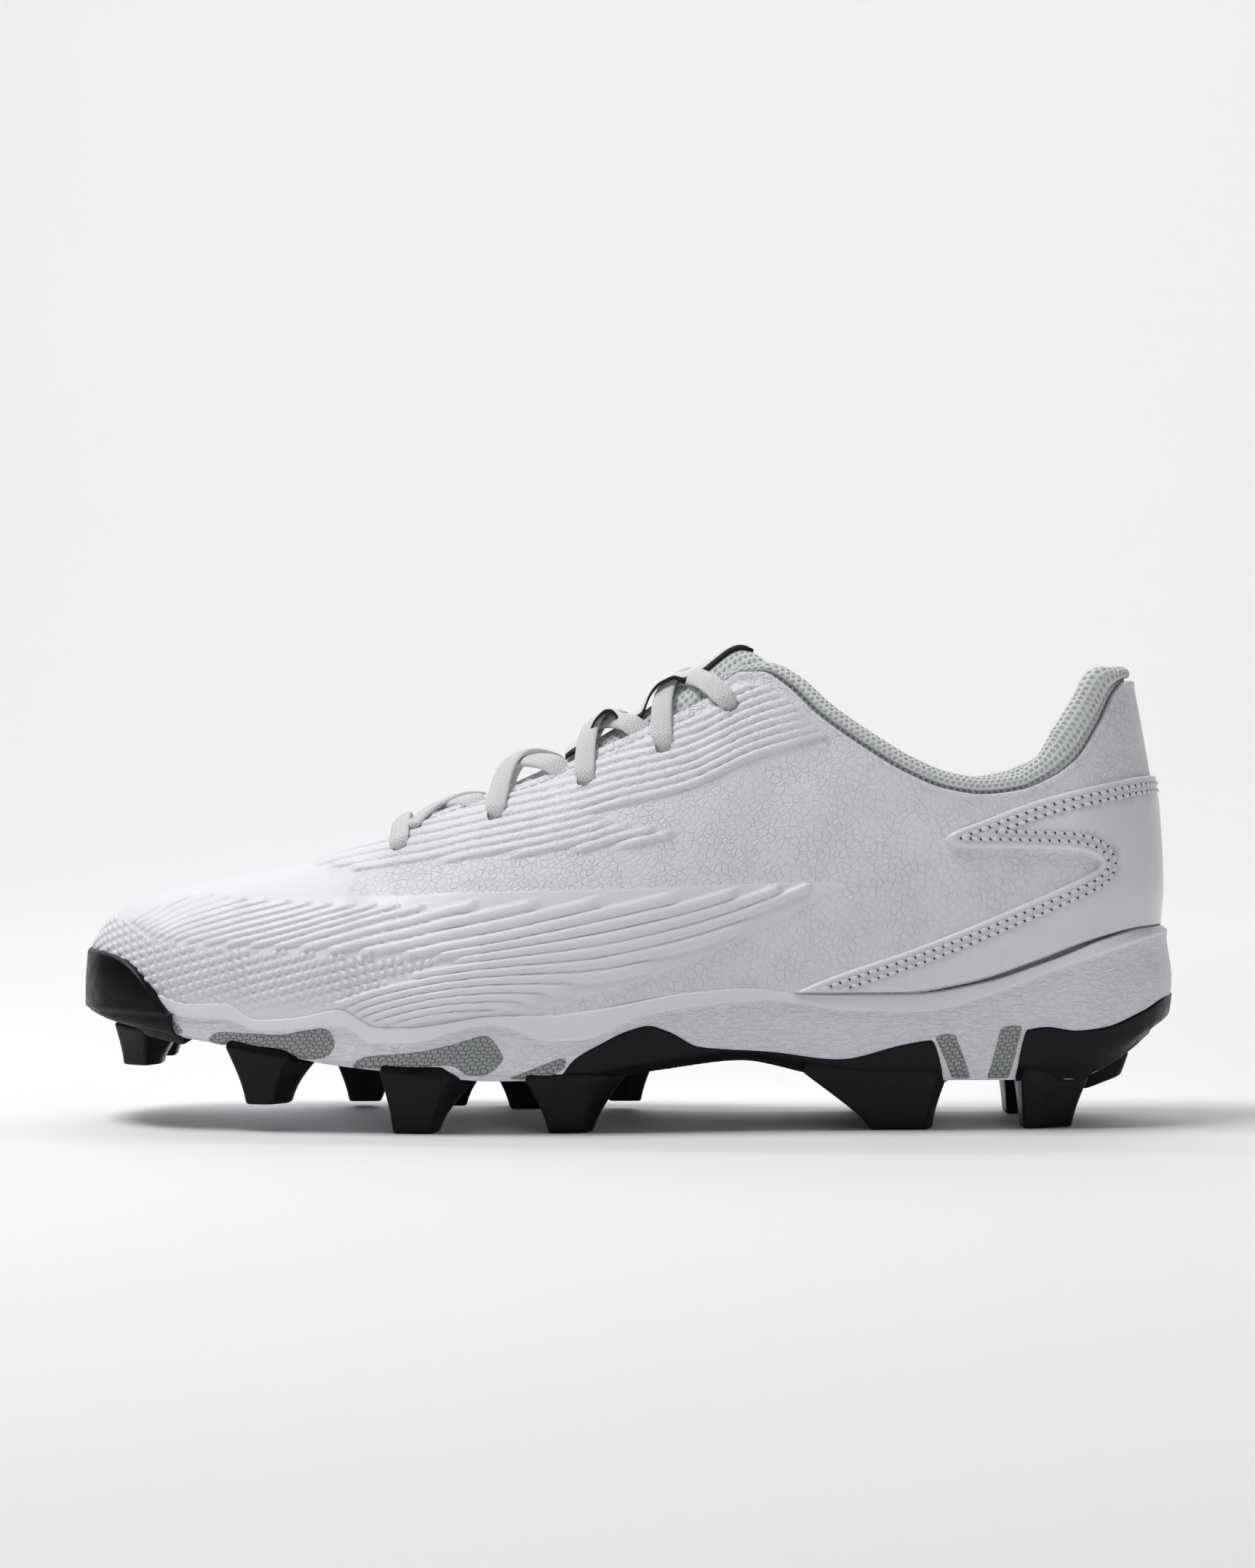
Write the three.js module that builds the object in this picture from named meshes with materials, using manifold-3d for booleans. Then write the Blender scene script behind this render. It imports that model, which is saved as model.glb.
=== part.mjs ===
// Left baseball cleat with moulded studs, empty and unlaced at the top, standing on its studs.
// Toe at -X, heel at +X, outer side at -Y, floor at Z 0. Lengths are in millimetres.
import * as THREE from 'three';
import Module from 'manifold-3d';
import { mergeVertices } from 'three/addons/utils/BufferGeometryUtils.js';

const wasm = await Module();
wasm.setup();

// Overall sizes
const shoeLength = 298.4;
const ballWidth = 101.5;
const studHeight = 13;
const bodyHeight = 114;

// Walls, layers and clearances
const gap = 0.3;
const upperWall = 2;
const ledge = 1.2;
const bumperWall = 1.5;
const overlayWall = 1.2;
const skinDepth = 2;
const inlayDepth = 1.3;
const insoleThick = 3.6;
const collarPad = 6;
const tonguePad = 4.6;
const labelThick = 1;
const laceWidth = 6;
const laceThick = 2;
const eyeletSize = 4.6;
const whole = 90;

// Steps of the faceted surfaces
const stationCount = 28;
const stationSpread = 0.35;
const riseCount = 6;
const lineSteps = 40;
const facetSlack = 0.03;

// Plan of the sole. along runs from the toe to the heel as a share of the length;
// centre and half are shares of the ball width.
const planRows = [
  { along: 0, centre: 0.059, half: 0 },
  { along: 0.024, centre: 0.05, half: 0.258 },
  { along: 0.095, centre: 0.033, half: 0.388 },
  { along: 0.206, centre: 0.019, half: 0.468 },
  { along: 0.345, centre: 0, half: 0.5 },
  { along: 0.5, centre: -0.032, half: 0.433 },
  { along: 0.655, centre: -0.034, half: 0.369 },
  { along: 0.794, centre: -0.02, half: 0.36 },
  { along: 0.905, centre: -0.007, half: 0.337 },
  { along: 0.976, centre: 0, half: 0.219 },
  { along: 1, centre: 0, half: 0 },
];

// Ridge of the upper, and the shape of its arch there. up is a share of the body height,
// bulge and crown are shares of the half width, side is a share of the arch height.
const archRows = [
  { along: 0, up: 0.298, bulge: 0.02, side: 0.6, crown: 0.6 },
  { along: 0.006, up: 0.336, bulge: 0.02, side: 0.6, crown: 0.6 },
  { along: 0.024, up: 0.386, bulge: 0.02, side: 0.6, crown: 0.6 },
  { along: 0.055, up: 0.424, bulge: 0.02, side: 0.6, crown: 0.6 },
  { along: 0.095, up: 0.448, bulge: 0.02, side: 0.58, crown: 0.58 },
  { along: 0.206, up: 0.507, bulge: 0.02, side: 0.52, crown: 0.54 },
  { along: 0.28, up: 0.57, bulge: 0.01, side: 0.48, crown: 0.5 },
  { along: 0.32, up: 0.636, bulge: 0, side: 0.46, crown: 0.48 },
  { along: 0.42, up: 0.746, bulge: -0.02, side: 0.43, crown: 0.47 },
  { along: 0.545, up: 0.93, bulge: -0.05, side: 0.42, crown: 0.5 },
  { along: 0.628, up: 1.082, bulge: -0.06, side: 0.43, crown: 0.54 },
  { along: 0.72, up: 1.2, bulge: -0.06, side: 0.46, crown: 0.6 },
  { along: 0.8, up: 1.254, bulge: -0.05, side: 0.5, crown: 0.62 },
  { along: 1, up: 1.31, bulge: -0.03, side: 0.52, crown: 0.7 },
];

// Line where the upper meets the sole
const biteRows = [
  { along: 0, up: 0.225 },
  { along: 0.072, up: 0.208 },
  { along: 0.103, up: 0.186 },
  { along: 0.138, up: 0.19 },
  { along: 0.165, up: 0.152 },
  { along: 0.205, up: 0.158 },
  { along: 0.242, up: 0.179 },
  { along: 0.276, up: 0.138 },
  { along: 0.3, up: 0.137 },
  { along: 0.381, up: 0.163 },
  { along: 0.422, up: 0.165 },
  { along: 0.473, up: 0.179 },
  { along: 0.55, up: 0.214 },
  { along: 0.605, up: 0.223 },
  { along: 0.652, up: 0.21 },
  { along: 0.75, up: 0.211 },
  { along: 0.814, up: 0.236 },
  { along: 0.873, up: 0.284 },
  { along: 0.926, up: 0.333 },
  { along: 0.975, up: 0.359 },
  { along: 1, up: 0.361 },
];

// Step below the smooth rim of the sole
const bandRows = [
  { along: 0, up: 0.16 },
  { along: 0.14, up: 0.15 },
  { along: 0.17, up: 0.125 },
  { along: 0.245, up: 0.14 },
  { along: 0.27, up: 0.1 },
  { along: 0.3, up: 0.101 },
  { along: 0.371, up: 0.144 },
  { along: 0.384, up: 0.144 },
  { along: 0.43, up: 0.106 },
  { along: 0.46, up: 0.11 },
  { along: 0.511, up: 0.163 },
  { along: 0.56, up: 0.185 },
  { along: 0.627, up: 0.197 },
  { along: 0.685, up: 0.176 },
  { along: 0.756, up: 0.17 },
  { along: 0.814, up: 0.204 },
  { along: 0.879, up: 0.267 },
  { along: 0.94, up: 0.316 },
  { along: 1, up: 0.342 },
];

// Underside of the sole, and the bed that the insole lies on
const soleRows = [
  { along: 0, under: 0.15, bed: 0.165 },
  { along: 0.03, under: 0.128, bed: 0.152 },
  { along: 0.1, under: 0.096, bed: 0.135 },
  { along: 0.165, under: 0.075, bed: 0.105 },
  { along: 0.231, under: 0.043, bed: 0.088 },
  { along: 0.3, under: 0.025, bed: 0.072 },
  { along: 0.378, under: 0.008, bed: 0.06 },
  { along: 0.45, under: 0.01, bed: 0.066 },
  { along: 0.53, under: 0.034, bed: 0.09 },
  { along: 0.6, under: 0.054, bed: 0.112 },
  { along: 0.665, under: 0.02, bed: 0.12 },
  { along: 0.72, under: 0.002, bed: 0.122 },
  { along: 0.9, under: 0.002, bed: 0.125 },
  { along: 0.95, under: 0.045, bed: 0.128 },
  { along: 1, under: 0.1, bed: 0.13 },
];

// Edge of the throat and the collar, seen from the side
const edgeRows = [
  { along: 0.286, up: 0.66 },
  { along: 0.292, up: 0.59 },
  { along: 0.318, up: 0.617 },
  { along: 0.367, up: 0.665 },
  { along: 0.42, up: 0.708 },
  { along: 0.452, up: 0.75 },
  { along: 0.518, up: 0.827 },
  { along: 0.577, up: 0.904 },
  { along: 0.59, up: 0.939 },
  { along: 0.603, up: 0.957 },
  { along: 0.62, up: 0.957 },
  { along: 0.643, up: 0.922 },
  { along: 0.668, up: 0.858 },
  { along: 0.72, up: 0.761 },
  { along: 0.746, up: 0.72 },
  { along: 0.785, up: 0.678 },
  { along: 0.817, up: 0.666 },
  { along: 0.85, up: 0.676 },
  { along: 0.876, up: 0.702 },
  { along: 0.902, up: 0.749 },
  { along: 0.928, up: 0.843 },
  { along: 0.943, up: 0.91 },
  { along: 0.956, up: 0.936 },
  { along: 1, up: 0.944 },
];

// Back of the heel of the upper, as a share of the length at each height
const heelRows = [
  { along: 0.2, back: 0.984 },
  { along: 0.36, back: 0.985 },
  { along: 0.45, back: 0.9875 },
  { along: 0.6, back: 0.985 },
  { along: 0.7, back: 0.981 },
  { along: 0.81, back: 0.974 },
  { along: 0.91, back: 0.967 },
  { along: 1.3, back: 0.94 },
];

// Places round the sole's side, from the rim down. down is a share of the height of its
// part; the insets are shares of the ball width at the heel and elsewhere.
const sideRows = [
  { part: 'rim', down: 0, heelInset: 0.031, inset: 0.003 },
  { part: 'rim', down: 0.95, heelInset: 0.012, inset: 0 },
  { part: 'wall', down: 0.05, heelInset: 0.014, inset: 0.008 },
  { part: 'wall', down: 0.45, heelInset: 0.001, inset: 0.01 },
  { part: 'wall', down: 0.8, heelInset: 0.01, inset: 0.022 },
  { part: 'wall', down: 1, heelInset: 0.06, inset: 0.055 },
];

// Where the insets of the side turn to those of the heel
const heelTuck = { from: 0.92, to: 0.995 };

// Swept counter that wraps the heel, seen from the side
const counterRows = [
  { along: 1.03, up: 0.714 },
  { along: 0.966, up: 0.712 },
  { along: 0.937, up: 0.7 },
  { along: 0.873, up: 0.661 },
  { along: 0.815, up: 0.607 },
  { along: 0.789, up: 0.58 },
  { along: 0.782, up: 0.562 },
  { along: 0.792, up: 0.547 },
  { along: 0.847, up: 0.542 },
  { along: 0.9, up: 0.536 },
  { along: 0.917, up: 0.522 },
  { along: 0.921, up: 0.505 },
  { along: 0.912, up: 0.485 },
  { along: 0.834, up: 0.394 },
  { along: 0.757, up: 0.314 },
  { along: 0.679, up: 0.245 },
  { along: 0.63, up: 0.19 },
];

// Toe bumper, seen from the side: its upper and rear edge
const bumperRows = [
  { along: -0.03, up: 0.3 },
  { along: 0.015, up: 0.299 },
  { along: 0.032, up: 0.292 },
  { along: 0.048, up: 0.275 },
  { along: 0.06, up: 0.248 },
  { along: 0.072, up: 0.208 },
  { along: 0.078, up: 0.186 },
  { along: 0.09, up: 0.159 },
  { along: 0.088, up: 0.12 },
  { along: 0.088, up: -0.02 },
];

// Grey inlays in the side of the sole: top and bottom at a few places along each
const inlayTables = {
  toe: [
    { along: 0.081, top: 0.128, bottom: 0.115 },
    { along: 0.086, top: 0.152, bottom: 0.108 },
    { along: 0.096, top: 0.142, bottom: 0.108 },
    { along: 0.104, top: 0.122, bottom: 0.112 },
  ],
  front: [
    { along: 0.128, top: 0.1, bottom: 0.093 },
    { along: 0.138, top: 0.118, bottom: 0.085 },
    { along: 0.166, top: 0.117, bottom: 0.084 },
    { along: 0.195, top: 0.115, bottom: 0.079 },
    { along: 0.213, top: 0.124, bottom: 0.056 },
    { along: 0.234, top: 0.13, bottom: 0.062 },
    { along: 0.242, top: 0.108, bottom: 0.085 },
  ],
  ball: [
    { along: 0.258, top: 0.045, bottom: 0.037 },
    { along: 0.27, top: 0.066, bottom: 0.036 },
    { along: 0.314, top: 0.078, bottom: 0.041 },
    { along: 0.345, top: 0.095, bottom: 0.045 },
    { along: 0.36, top: 0.107, bottom: 0.022 },
    { along: 0.378, top: 0.115, bottom: 0.026 },
    { along: 0.39, top: 0.075, bottom: 0.055 },
  ],
  leaf: [
    { along: 0.398, top: 0.019, bottom: 0.013 },
    { along: 0.409, top: 0.031, bottom: 0.012 },
    { along: 0.427, top: 0.05, bottom: 0.016 },
    { along: 0.442, top: 0.064, bottom: 0.034 },
    { along: 0.446, top: 0.058, bottom: 0.048 },
  ],
};

// Slanted grey strips of the heel wedge: ends at the top and the foot of each
const stripTables = {
  wedge_front: { topFront: 0.772, topBack: 0.791, footFront: 0.789, footBack: 0.806, top: 0.108 },
  wedge_back: { topFront: 0.831, topBack: 0.851, footFront: 0.82, footBack: 0.84, top: 0.127 },
};

// Upper edges of the black plates on the side of the sole
const archPlateRows = [
  { along: 0.432, up: -0.02 },
  { along: 0.439, up: 0.02 },
  { along: 0.451, up: 0.062 },
  { along: 0.473, up: 0.096 },
  { along: 0.498, up: 0.127 },
  { along: 0.516, up: 0.138 },
  { along: 0.534, up: 0.124 },
  { along: 0.562, up: 0.087 },
  { along: 0.627, up: 0.073 },
  { along: 0.685, up: 0.056 },
  { along: 0.743, up: 0.09 },
  { along: 0.768, up: 0.1 },
  { along: 0.787, up: -0.02 },
];
const heelPlateRows = [
  { along: 0.846, up: -0.02 },
  { along: 0.848, up: 0.06 },
  { along: 0.855, up: 0.124 },
  { along: 0.873, up: 0.13 },
  { along: 0.899, up: 0.121 },
  { along: 0.926, up: 0.127 },
  { along: 0.965, up: 0.163 },
  { along: 0.989, up: 0.192 },
  { along: 1.03, up: 0.2 },
];

// Studs. The X places are shares of the length: the front, the crease where the outer
// face turns inward, and the back, at the root and at the tip. edge and reach are shares
// of the ball width: how far the outer face stands in from the sole's edge, and how far
// the stud reaches inward. tip is a share of the stud height.
const studRows = [
  { name: 'toe_outer', side: -1, front: 0.036, crease: 0.066, back: 0.092, tipFront: 0.043,
    tipCrease: 0.066, tipBack: 0.077, edge: 0.06, reach: 0.17, tip: 1.24 },
  { name: 'toe_inner', side: 1, front: 0.036, crease: 0.066, back: 0.092, tipFront: 0.043,
    tipCrease: 0.066, tipBack: 0.077, edge: 0.06, reach: 0.17, tip: 1.24 },
  { name: 'outer_front', side: -1, front: 0.144, crease: 0.2, back: 0.222, tipFront: 0.161,
    tipCrease: 0.184, tipBack: 0.2, edge: 0.01, reach: 0.19, tip: 0.55 },
  { name: 'outer_ball', side: -1, front: 0.282, crease: 0.34, back: 0.368, tipFront: 0.293,
    tipCrease: 0.328, tipBack: 0.334, edge: 0.01, reach: 0.19, tip: 0 },
  { name: 'inner_front', side: 1, front: 0.215, crease: 0.27, back: 0.3, tipFront: 0.235,
    tipCrease: 0.258, tipBack: 0.266, edge: 0.02, reach: 0.19, tip: 0.15 },
  { name: 'inner_ball', side: 1, front: 0.366, crease: 0.404, back: 0.424, tipFront: 0.388,
    tipCrease: 0.412, tipBack: 0.42, edge: 0.02, reach: 0.19, tip: 0 },
  { name: 'centre', side: 1, front: 0.3, crease: 0.34, back: 0.37, tipFront: 0.328,
    tipCrease: 0.346, tipBack: 0.352, edge: 0.4, reach: 0.15, tip: 0.28 },
  { name: 'outer_arch', side: -1, front: 0.41, crease: 0.465, back: 0.5, tipFront: 0.43,
    tipCrease: 0.462, tipBack: 0.47, edge: 0.02, reach: 0.18, tip: 0 },
  { name: 'inner_arch', side: 1, front: 0.455, crease: 0.505, back: 0.53, tipFront: 0.482,
    tipCrease: 0.506, tipBack: 0.513, edge: 0.02, reach: 0.17, tip: 0.2 },
  { name: 'outer_heel_front', side: -1, front: 0.655, crease: 0.775, back: 0.785,
    tipFront: 0.716, tipCrease: 0.766, tipBack: 0.773, edge: 0.02, reach: 0.17, tip: 0 },
  { name: 'inner_heel_front', side: 1, front: 0.67, crease: 0.775, back: 0.785,
    tipFront: 0.722, tipCrease: 0.766, tipBack: 0.773, edge: 0.02, reach: 0.17, tip: 0 },
  { name: 'outer_heel', side: -1, front: 0.85, crease: 0.86, back: 0.915, tipFront: 0.854,
    tipCrease: 0.866, tipBack: 0.9, edge: 0.025, reach: 0.2, tip: 0 },
  { name: 'inner_heel', side: 1, front: 0.85, crease: 0.86, back: 0.915, tipFront: 0.854,
    tipCrease: 0.866, tipBack: 0.9, edge: 0.025, reach: 0.2, tip: 0 },
];

// Shape of a stud: how much its tip stands in, how much less it reaches there, where its
// back corner lies between crease and inner side, and the chamfers of its tip and edges
const studShape = {
  slope: 0.045, taper: 1.6, backCorner: 0.45, tipStart: 0.94, tipChamfer: 0.5, corner: 1.3,
};

// Low lug under the back of the heel
const rearLug = { front: 0.905, back: 0.968, tipFront: 0.915, tipBack: 0.95, half: 0.13, tip: 0.7 };

// Eyelets, from the toe up
const eyeletRows = [
  { along: 0.295, up: 0.543 },
  { along: 0.381, up: 0.618 },
  { along: 0.462, up: 0.698 },
  { along: 0.532, up: 0.78 },
  { along: 0.593, up: 0.877 },
];

// Outline of the padded collar across its edge. inward is a share of the pad, and rise
// is measured from the edge of the upper as a share of the pad.
const collarRows = [
  { inward: 0.22, rise: -3.6 },
  { inward: 0.07, rise: -2.8 },
  { inward: 0.06, rise: 0.1 },
  { inward: -0.2, rise: 0.28 },
  { inward: -0.3, rise: 0.55 },
  { inward: -0.12, rise: 0.86 },
  { inward: 0.25, rise: 0.98 },
  { inward: 0.7, rise: 0.8 },
  { inward: 0.98, rise: 0.3 },
  { inward: 1, rise: -0.6 },
  { inward: 0.75, rise: -2.2 },
];
const collarStart = 0.656;

const lengthX = (along) => (along - 0.5) * shoeLength;
const heightZ = (up) => studHeight + up * bodyHeight;
const turnOf = (along) => Math.acos(THREE.MathUtils.clamp(1 - 2 * along, -1, 1)) / Math.PI;
const alongOf = (turn) => (1 - Math.cos(Math.PI * turn)) / 2;
const alongX = (x) => x / shoeLength + 0.5;

// Turn of a station, spread so that the middle of the shoe has its share of them
function stationTurn(station) {
  const share = station / stationCount;
  return share + (stationSpread * Math.sin(2 * Math.PI * share)) / (2 * Math.PI);
}

// Value of a column of a table at a place along it, on a smooth curve without overshoot.
// With round set, places are spread as round a half circle, so that both ends are round.
function read(rows, column, along, round = false) {
  const place = (value) => (round ? turnOf(value) : value);
  const last = rows.length - 1;
  const at = THREE.MathUtils.clamp(place(along), place(rows[0].along), place(rows[last].along));
  let low = 0;
  while (low < last - 1 && at > place(rows[low + 1].along)) {
    low += 1;
  }
  const slope = (k) => {
    const run = place(rows[k + 1].along) - place(rows[k].along);
    return (rows[k + 1][column] - rows[k][column]) / run;
  };
  const tangent = (k) => {
    if (k === 0 || k === last) {
      return round ? slope(Math.min(k, last - 1)) : 0;
    }
    const before = slope(k - 1);
    const after = slope(k);
    return before * after <= 0 ? 0 : (2 * before * after) / (before + after);
  };
  const start = place(rows[low].along);
  const run = place(rows[low + 1].along) - start;
  const t = (at - start) / run;
  const from = rows[low][column];
  const to = rows[low + 1][column];
  const curve = (2 * t - 3) * t * t;
  return from * (1 + curve) - to * curve
    + tangent(low) * run * t * (1 - t) * (1 - t)
    - tangent(low + 1) * run * t * t * (1 - t);
}

const biteZ = (along) => heightZ(read(biteRows, 'up', along));
const edgeZ = (along) => heightZ(read(edgeRows, 'up', along));
const planCentre = (along) => read(planRows, 'centre', along, true) * ballWidth;
const planHalf = (along) => read(planRows, 'half', along, true) * ballWidth;

// Point on the arch of the upper. turn runs from the toe to the heel, rise from the bite
// line (0) to the ridge (1); past either end it carries on down the other side.
function archPoint(turn, side, rise) {
  if (turn < 0 || turn > 1) {
    return archPoint(turn < 0 ? -turn : 2 - turn, -side, rise);
  }
  if (rise > 1) {
    return archPoint(turn, -side, 2 - rise);
  }
  const along = alongOf(turn);
  const half = planHalf(along) * (1 - (2 * ledge) / ballWidth);
  const foot = biteZ(along);
  const height = heightZ(read(archRows, 'up', along, true)) - foot;
  const swell = half * (1 + read(archRows, 'bulge', along));
  const crown = half * read(archRows, 'crown', along);
  const lift = height * read(archRows, 'side', along);
  const t = rise;
  const s = 1 - rise;
  const out = s * s * s * half + 3 * s * s * t * swell + 3 * s * t * t * crown;
  const z = foot + 3 * s * s * t * lift + (3 * s * t * t + t * t * t) * height;
  const front = lengthX(0) + bumperWall + 2 * gap;
  const back = lengthX(read(heelRows, 'back', (z - studHeight) / bodyHeight));
  const x = front + (back - front) * along;
  return new THREE.Vector3(x, planCentre(along) + side * out, z);
}

// Point at a distance from the arch, outward where it is positive
function shellPoint(turn, side, rise, offset) {
  const step = 0.004;
  const point = archPoint(turn, side, rise);
  const ahead = archPoint(turn + step, side, rise).sub(archPoint(turn - step, side, rise));
  const low = Math.max(rise - step, 0);
  const upward = archPoint(turn, side, rise + step).sub(archPoint(turn, side, low));
  const normal = ahead.cross(upward).normalize();
  if (normal.x * point.x * 0.2 + normal.y * point.y + normal.z * (point.z - 30) < 0) {
    normal.negate();
  }
  return point.addScaledVector(normal, offset);
}

// Closed skin over a row of rings that all have the same number of points
function skin(rings, capped) {
  const count = rings[0].length;
  const positions = rings.flat().flatMap((point) => point.toArray());
  const index = [];
  for (let ring = 0; ring + 1 < rings.length; ring += 1) {
    for (let k = 0; k < count; k += 1) {
      const here = ring * count + k;
      const next = ring * count + ((k + 1) % count);
      index.push(here, next, next + count, here, next + count, here + count);
    }
  }
  if (capped) {
    const end = (rings.length - 1) * count;
    for (let k = 0; k < count / 2 - 1; k += 1) {
      const far = count - 1 - k;
      index.push(k + 1, k, far - 1, far - 1, k, far);
      index.push(end + k, end + k + 1, end + far - 1, end + k, end + far - 1, end + far);
    }
  }
  const geometry = new THREE.BufferGeometry();
  geometry.setAttribute('position', new THREE.Float32BufferAttribute(positions, 3));
  geometry.setIndex(index);
  return solidOf(geometry);
}

// Solid of a closed three.js geometry
function solidOf(source) {
  source.deleteAttribute('normal');
  source.deleteAttribute('uv');
  const geometry = mergeVertices(source, 1e-3);
  const positions = geometry.attributes.position;
  const triangles = [];
  const corners = [new THREE.Vector3(), new THREE.Vector3(), new THREE.Vector3()];
  let volume = 0;
  for (let k = 0; k < geometry.index.count; k += 3) {
    const [a, b, c] = [0, 1, 2].map((step) => geometry.index.getX(k + step));
    if (a !== b && b !== c && c !== a) {
      triangles.push([a, b, c]);
      [a, b, c].forEach((vertex, step) => corners[step].fromBufferAttribute(positions, vertex));
      volume += corners[0].dot(corners[1].cross(corners[2]));
    }
  }
  const ordered = volume < 0 ? triangles.map(([a, b, c]) => [a, c, b]) : triangles;
  return new wasm.Manifold(new wasm.Mesh({
    numProp: 3,
    vertProperties: new Float32Array(positions.array),
    triVerts: new Uint32Array(ordered.flat()),
  }));
}

const deepFloor = (along) => biteZ(along) - 5;

// Whole form of the upper at an offset, carried straight down below the bite line
function upperForm(offset, floorZ = deepFloor) {
  const rings = [];
  for (let station = 0; station <= stationCount; station += 1) {
    const turn = stationTurn(station);
    const along = alongOf(turn);
    const arch = [];
    for (const side of [-1, 1]) {
      for (let k = 0; k < riseCount; k += 1) {
        arch.push(shellPoint(turn, side, k / riseCount, offset));
      }
      if (side < 0) {
        arch.push(shellPoint(turn, side, 1, offset));
      }
    }
    const outer = arch.slice(0, riseCount + 1);
    const inner = arch.slice(riseCount + 1).reverse();
    const floor = floorZ(along);
    const first = outer[0];
    const final = inner[inner.length - 1];
    first.z = biteZ(along);
    final.z = biteZ(along);
    const ring = [...outer, ...inner];
    for (const share of [0, 0.5, 1]) {
      const below = final.clone().lerp(first, share);
      below.z = floor;
      ring.push(below);
    }
    rings.push(ring);
  }
  return skin(rings, false);
}

// Point in from the edge of the sole's plan
function planPoint(turn, side, inset, z) {
  const place = (value) => {
    const inside = value < 0 ? -value : value > 1 ? 2 - value : value;
    const facing = value < 0 || value > 1 ? -side : side;
    const along = alongOf(inside);
    const toe = lengthX(0) + bumperWall + gap;
    const x = toe + (lengthX(1) - toe) * along;
    return new THREE.Vector3(x, planCentre(along) + facing * planHalf(along), 0);
  };
  const ahead = place(turn + 0.004).sub(place(turn - 0.004)).normalize();
  const point = place(turn);
  point.x += side * ahead.y * inset;
  point.y -= side * ahead.x * inset;
  point.z = z;
  return point;
}

// Whole form of the sole at an offset: positive grows its side and underside. Its top
// lies above the bite line, and with skirt set its sides run on down below the floor.
function soleForm(offset, skirt = false) {
  const rings = [];
  for (let station = 0; station <= stationCount; station += 1) {
    const turn = stationTurn(station);
    const along = alongOf(turn);
    const rim = biteZ(along) + gap * 4;
    const band = heightZ(read(bandRows, 'up', along));
    const under = heightZ(read(soleRows, 'under', along));
    const heel = THREE.MathUtils.smoothstep(along, heelTuck.from, heelTuck.to);
    const halves = [-1, 1].map((side) => sideRows.map((row) => {
      const from = row.part === 'rim' ? rim : band;
      const to = row.part === 'rim' ? band : under - offset;
      const inset = THREE.MathUtils.lerp(row.inset, row.heelInset, heel) * ballWidth;
      return planPoint(turn, side, inset - offset, from + (to - from) * row.down);
    }));
    const [outer, inner] = halves;
    const foot = outer[outer.length - 1];
    const far = inner[inner.length - 1];
    const ring = [...outer];
    for (const share of skirt ? [0, 1] : [0.5]) {
      const below = foot.clone().lerp(far, share);
      below.z = skirt ? -studHeight : below.z;
      ring.push(below);
    }
    ring.push(...inner.reverse());
    ring.push(outer[0].clone().lerp(inner[inner.length - 1], 0.5));
    rings.push(ring);
  }
  return skin(rings, false);
}

// Prism across the shoe from an outline seen from the side
function sidePrism(points, fromY, toY) {
  const shape = new THREE.Shape(points.map(([x, z]) => new THREE.Vector2(x, z)));
  const prism = new THREE.ExtrudeGeometry(shape, { depth: toY - fromY, bevelEnabled: false });
  prism.rotateX(Math.PI / 2);
  prism.translate(0, toY, 0);
  return solidOf(prism);
}

// Points of a smooth open line through rows of along and up
function sideLine(rows, steps) {
  const knots = rows.map((row) => new THREE.Vector3(lengthX(row.along), heightZ(row.up), 0));
  const curve = new THREE.CatmullRomCurve3(knots, false, 'centripetal');
  return curve.getPoints(steps).map((point) => [point.x, point.y]);
}

// Outline moved outward by a margin
function grown(points, margin) {
  const count = points.length;
  const area = points.reduce((sum, [x, z], k) => {
    const [nextX, nextZ] = points[(k + 1) % count];
    return sum + x * nextZ - nextX * z;
  }, 0);
  const way = Math.sign(area) * margin;
  return points.map(([x, z], k) => {
    const [beforeX, beforeZ] = points[(k + count - 1) % count];
    const [afterX, afterZ] = points[(k + 1) % count];
    const run = Math.hypot(afterX - beforeX, afterZ - beforeZ);
    return [x + ((afterZ - beforeZ) / run) * way, z - ((afterX - beforeX) / run) * way];
  });
}

// Outline of an inlay from its rows of top and bottom
function leafOutline(rows) {
  const top = rows.map((row) => ({ along: row.along, up: row.top }));
  const bottom = rows.map((row) => ({ along: row.along, up: row.bottom })).reverse();
  const knots = [...top, ...bottom].map(
    (row) => new THREE.Vector3(lengthX(row.along), heightZ(row.up), 0),
  );
  const curve = new THREE.CatmullRomCurve3(knots, true, 'centripetal');
  return curve.getPoints(11).slice(1).map((point) => [point.x, point.y]);
}

function stripOutline(row) {
  const under = -0.01;
  return [
    [lengthX(row.topFront), heightZ(row.top)],
    [lengthX((row.topFront + row.topBack) / 2), heightZ(row.top + 0.006)],
    [lengthX(row.topBack), heightZ(row.top + 0.003)],
    [lengthX(row.footBack), heightZ(under)],
    [lengthX(row.footFront), heightZ(under)],
  ];
}

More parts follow.
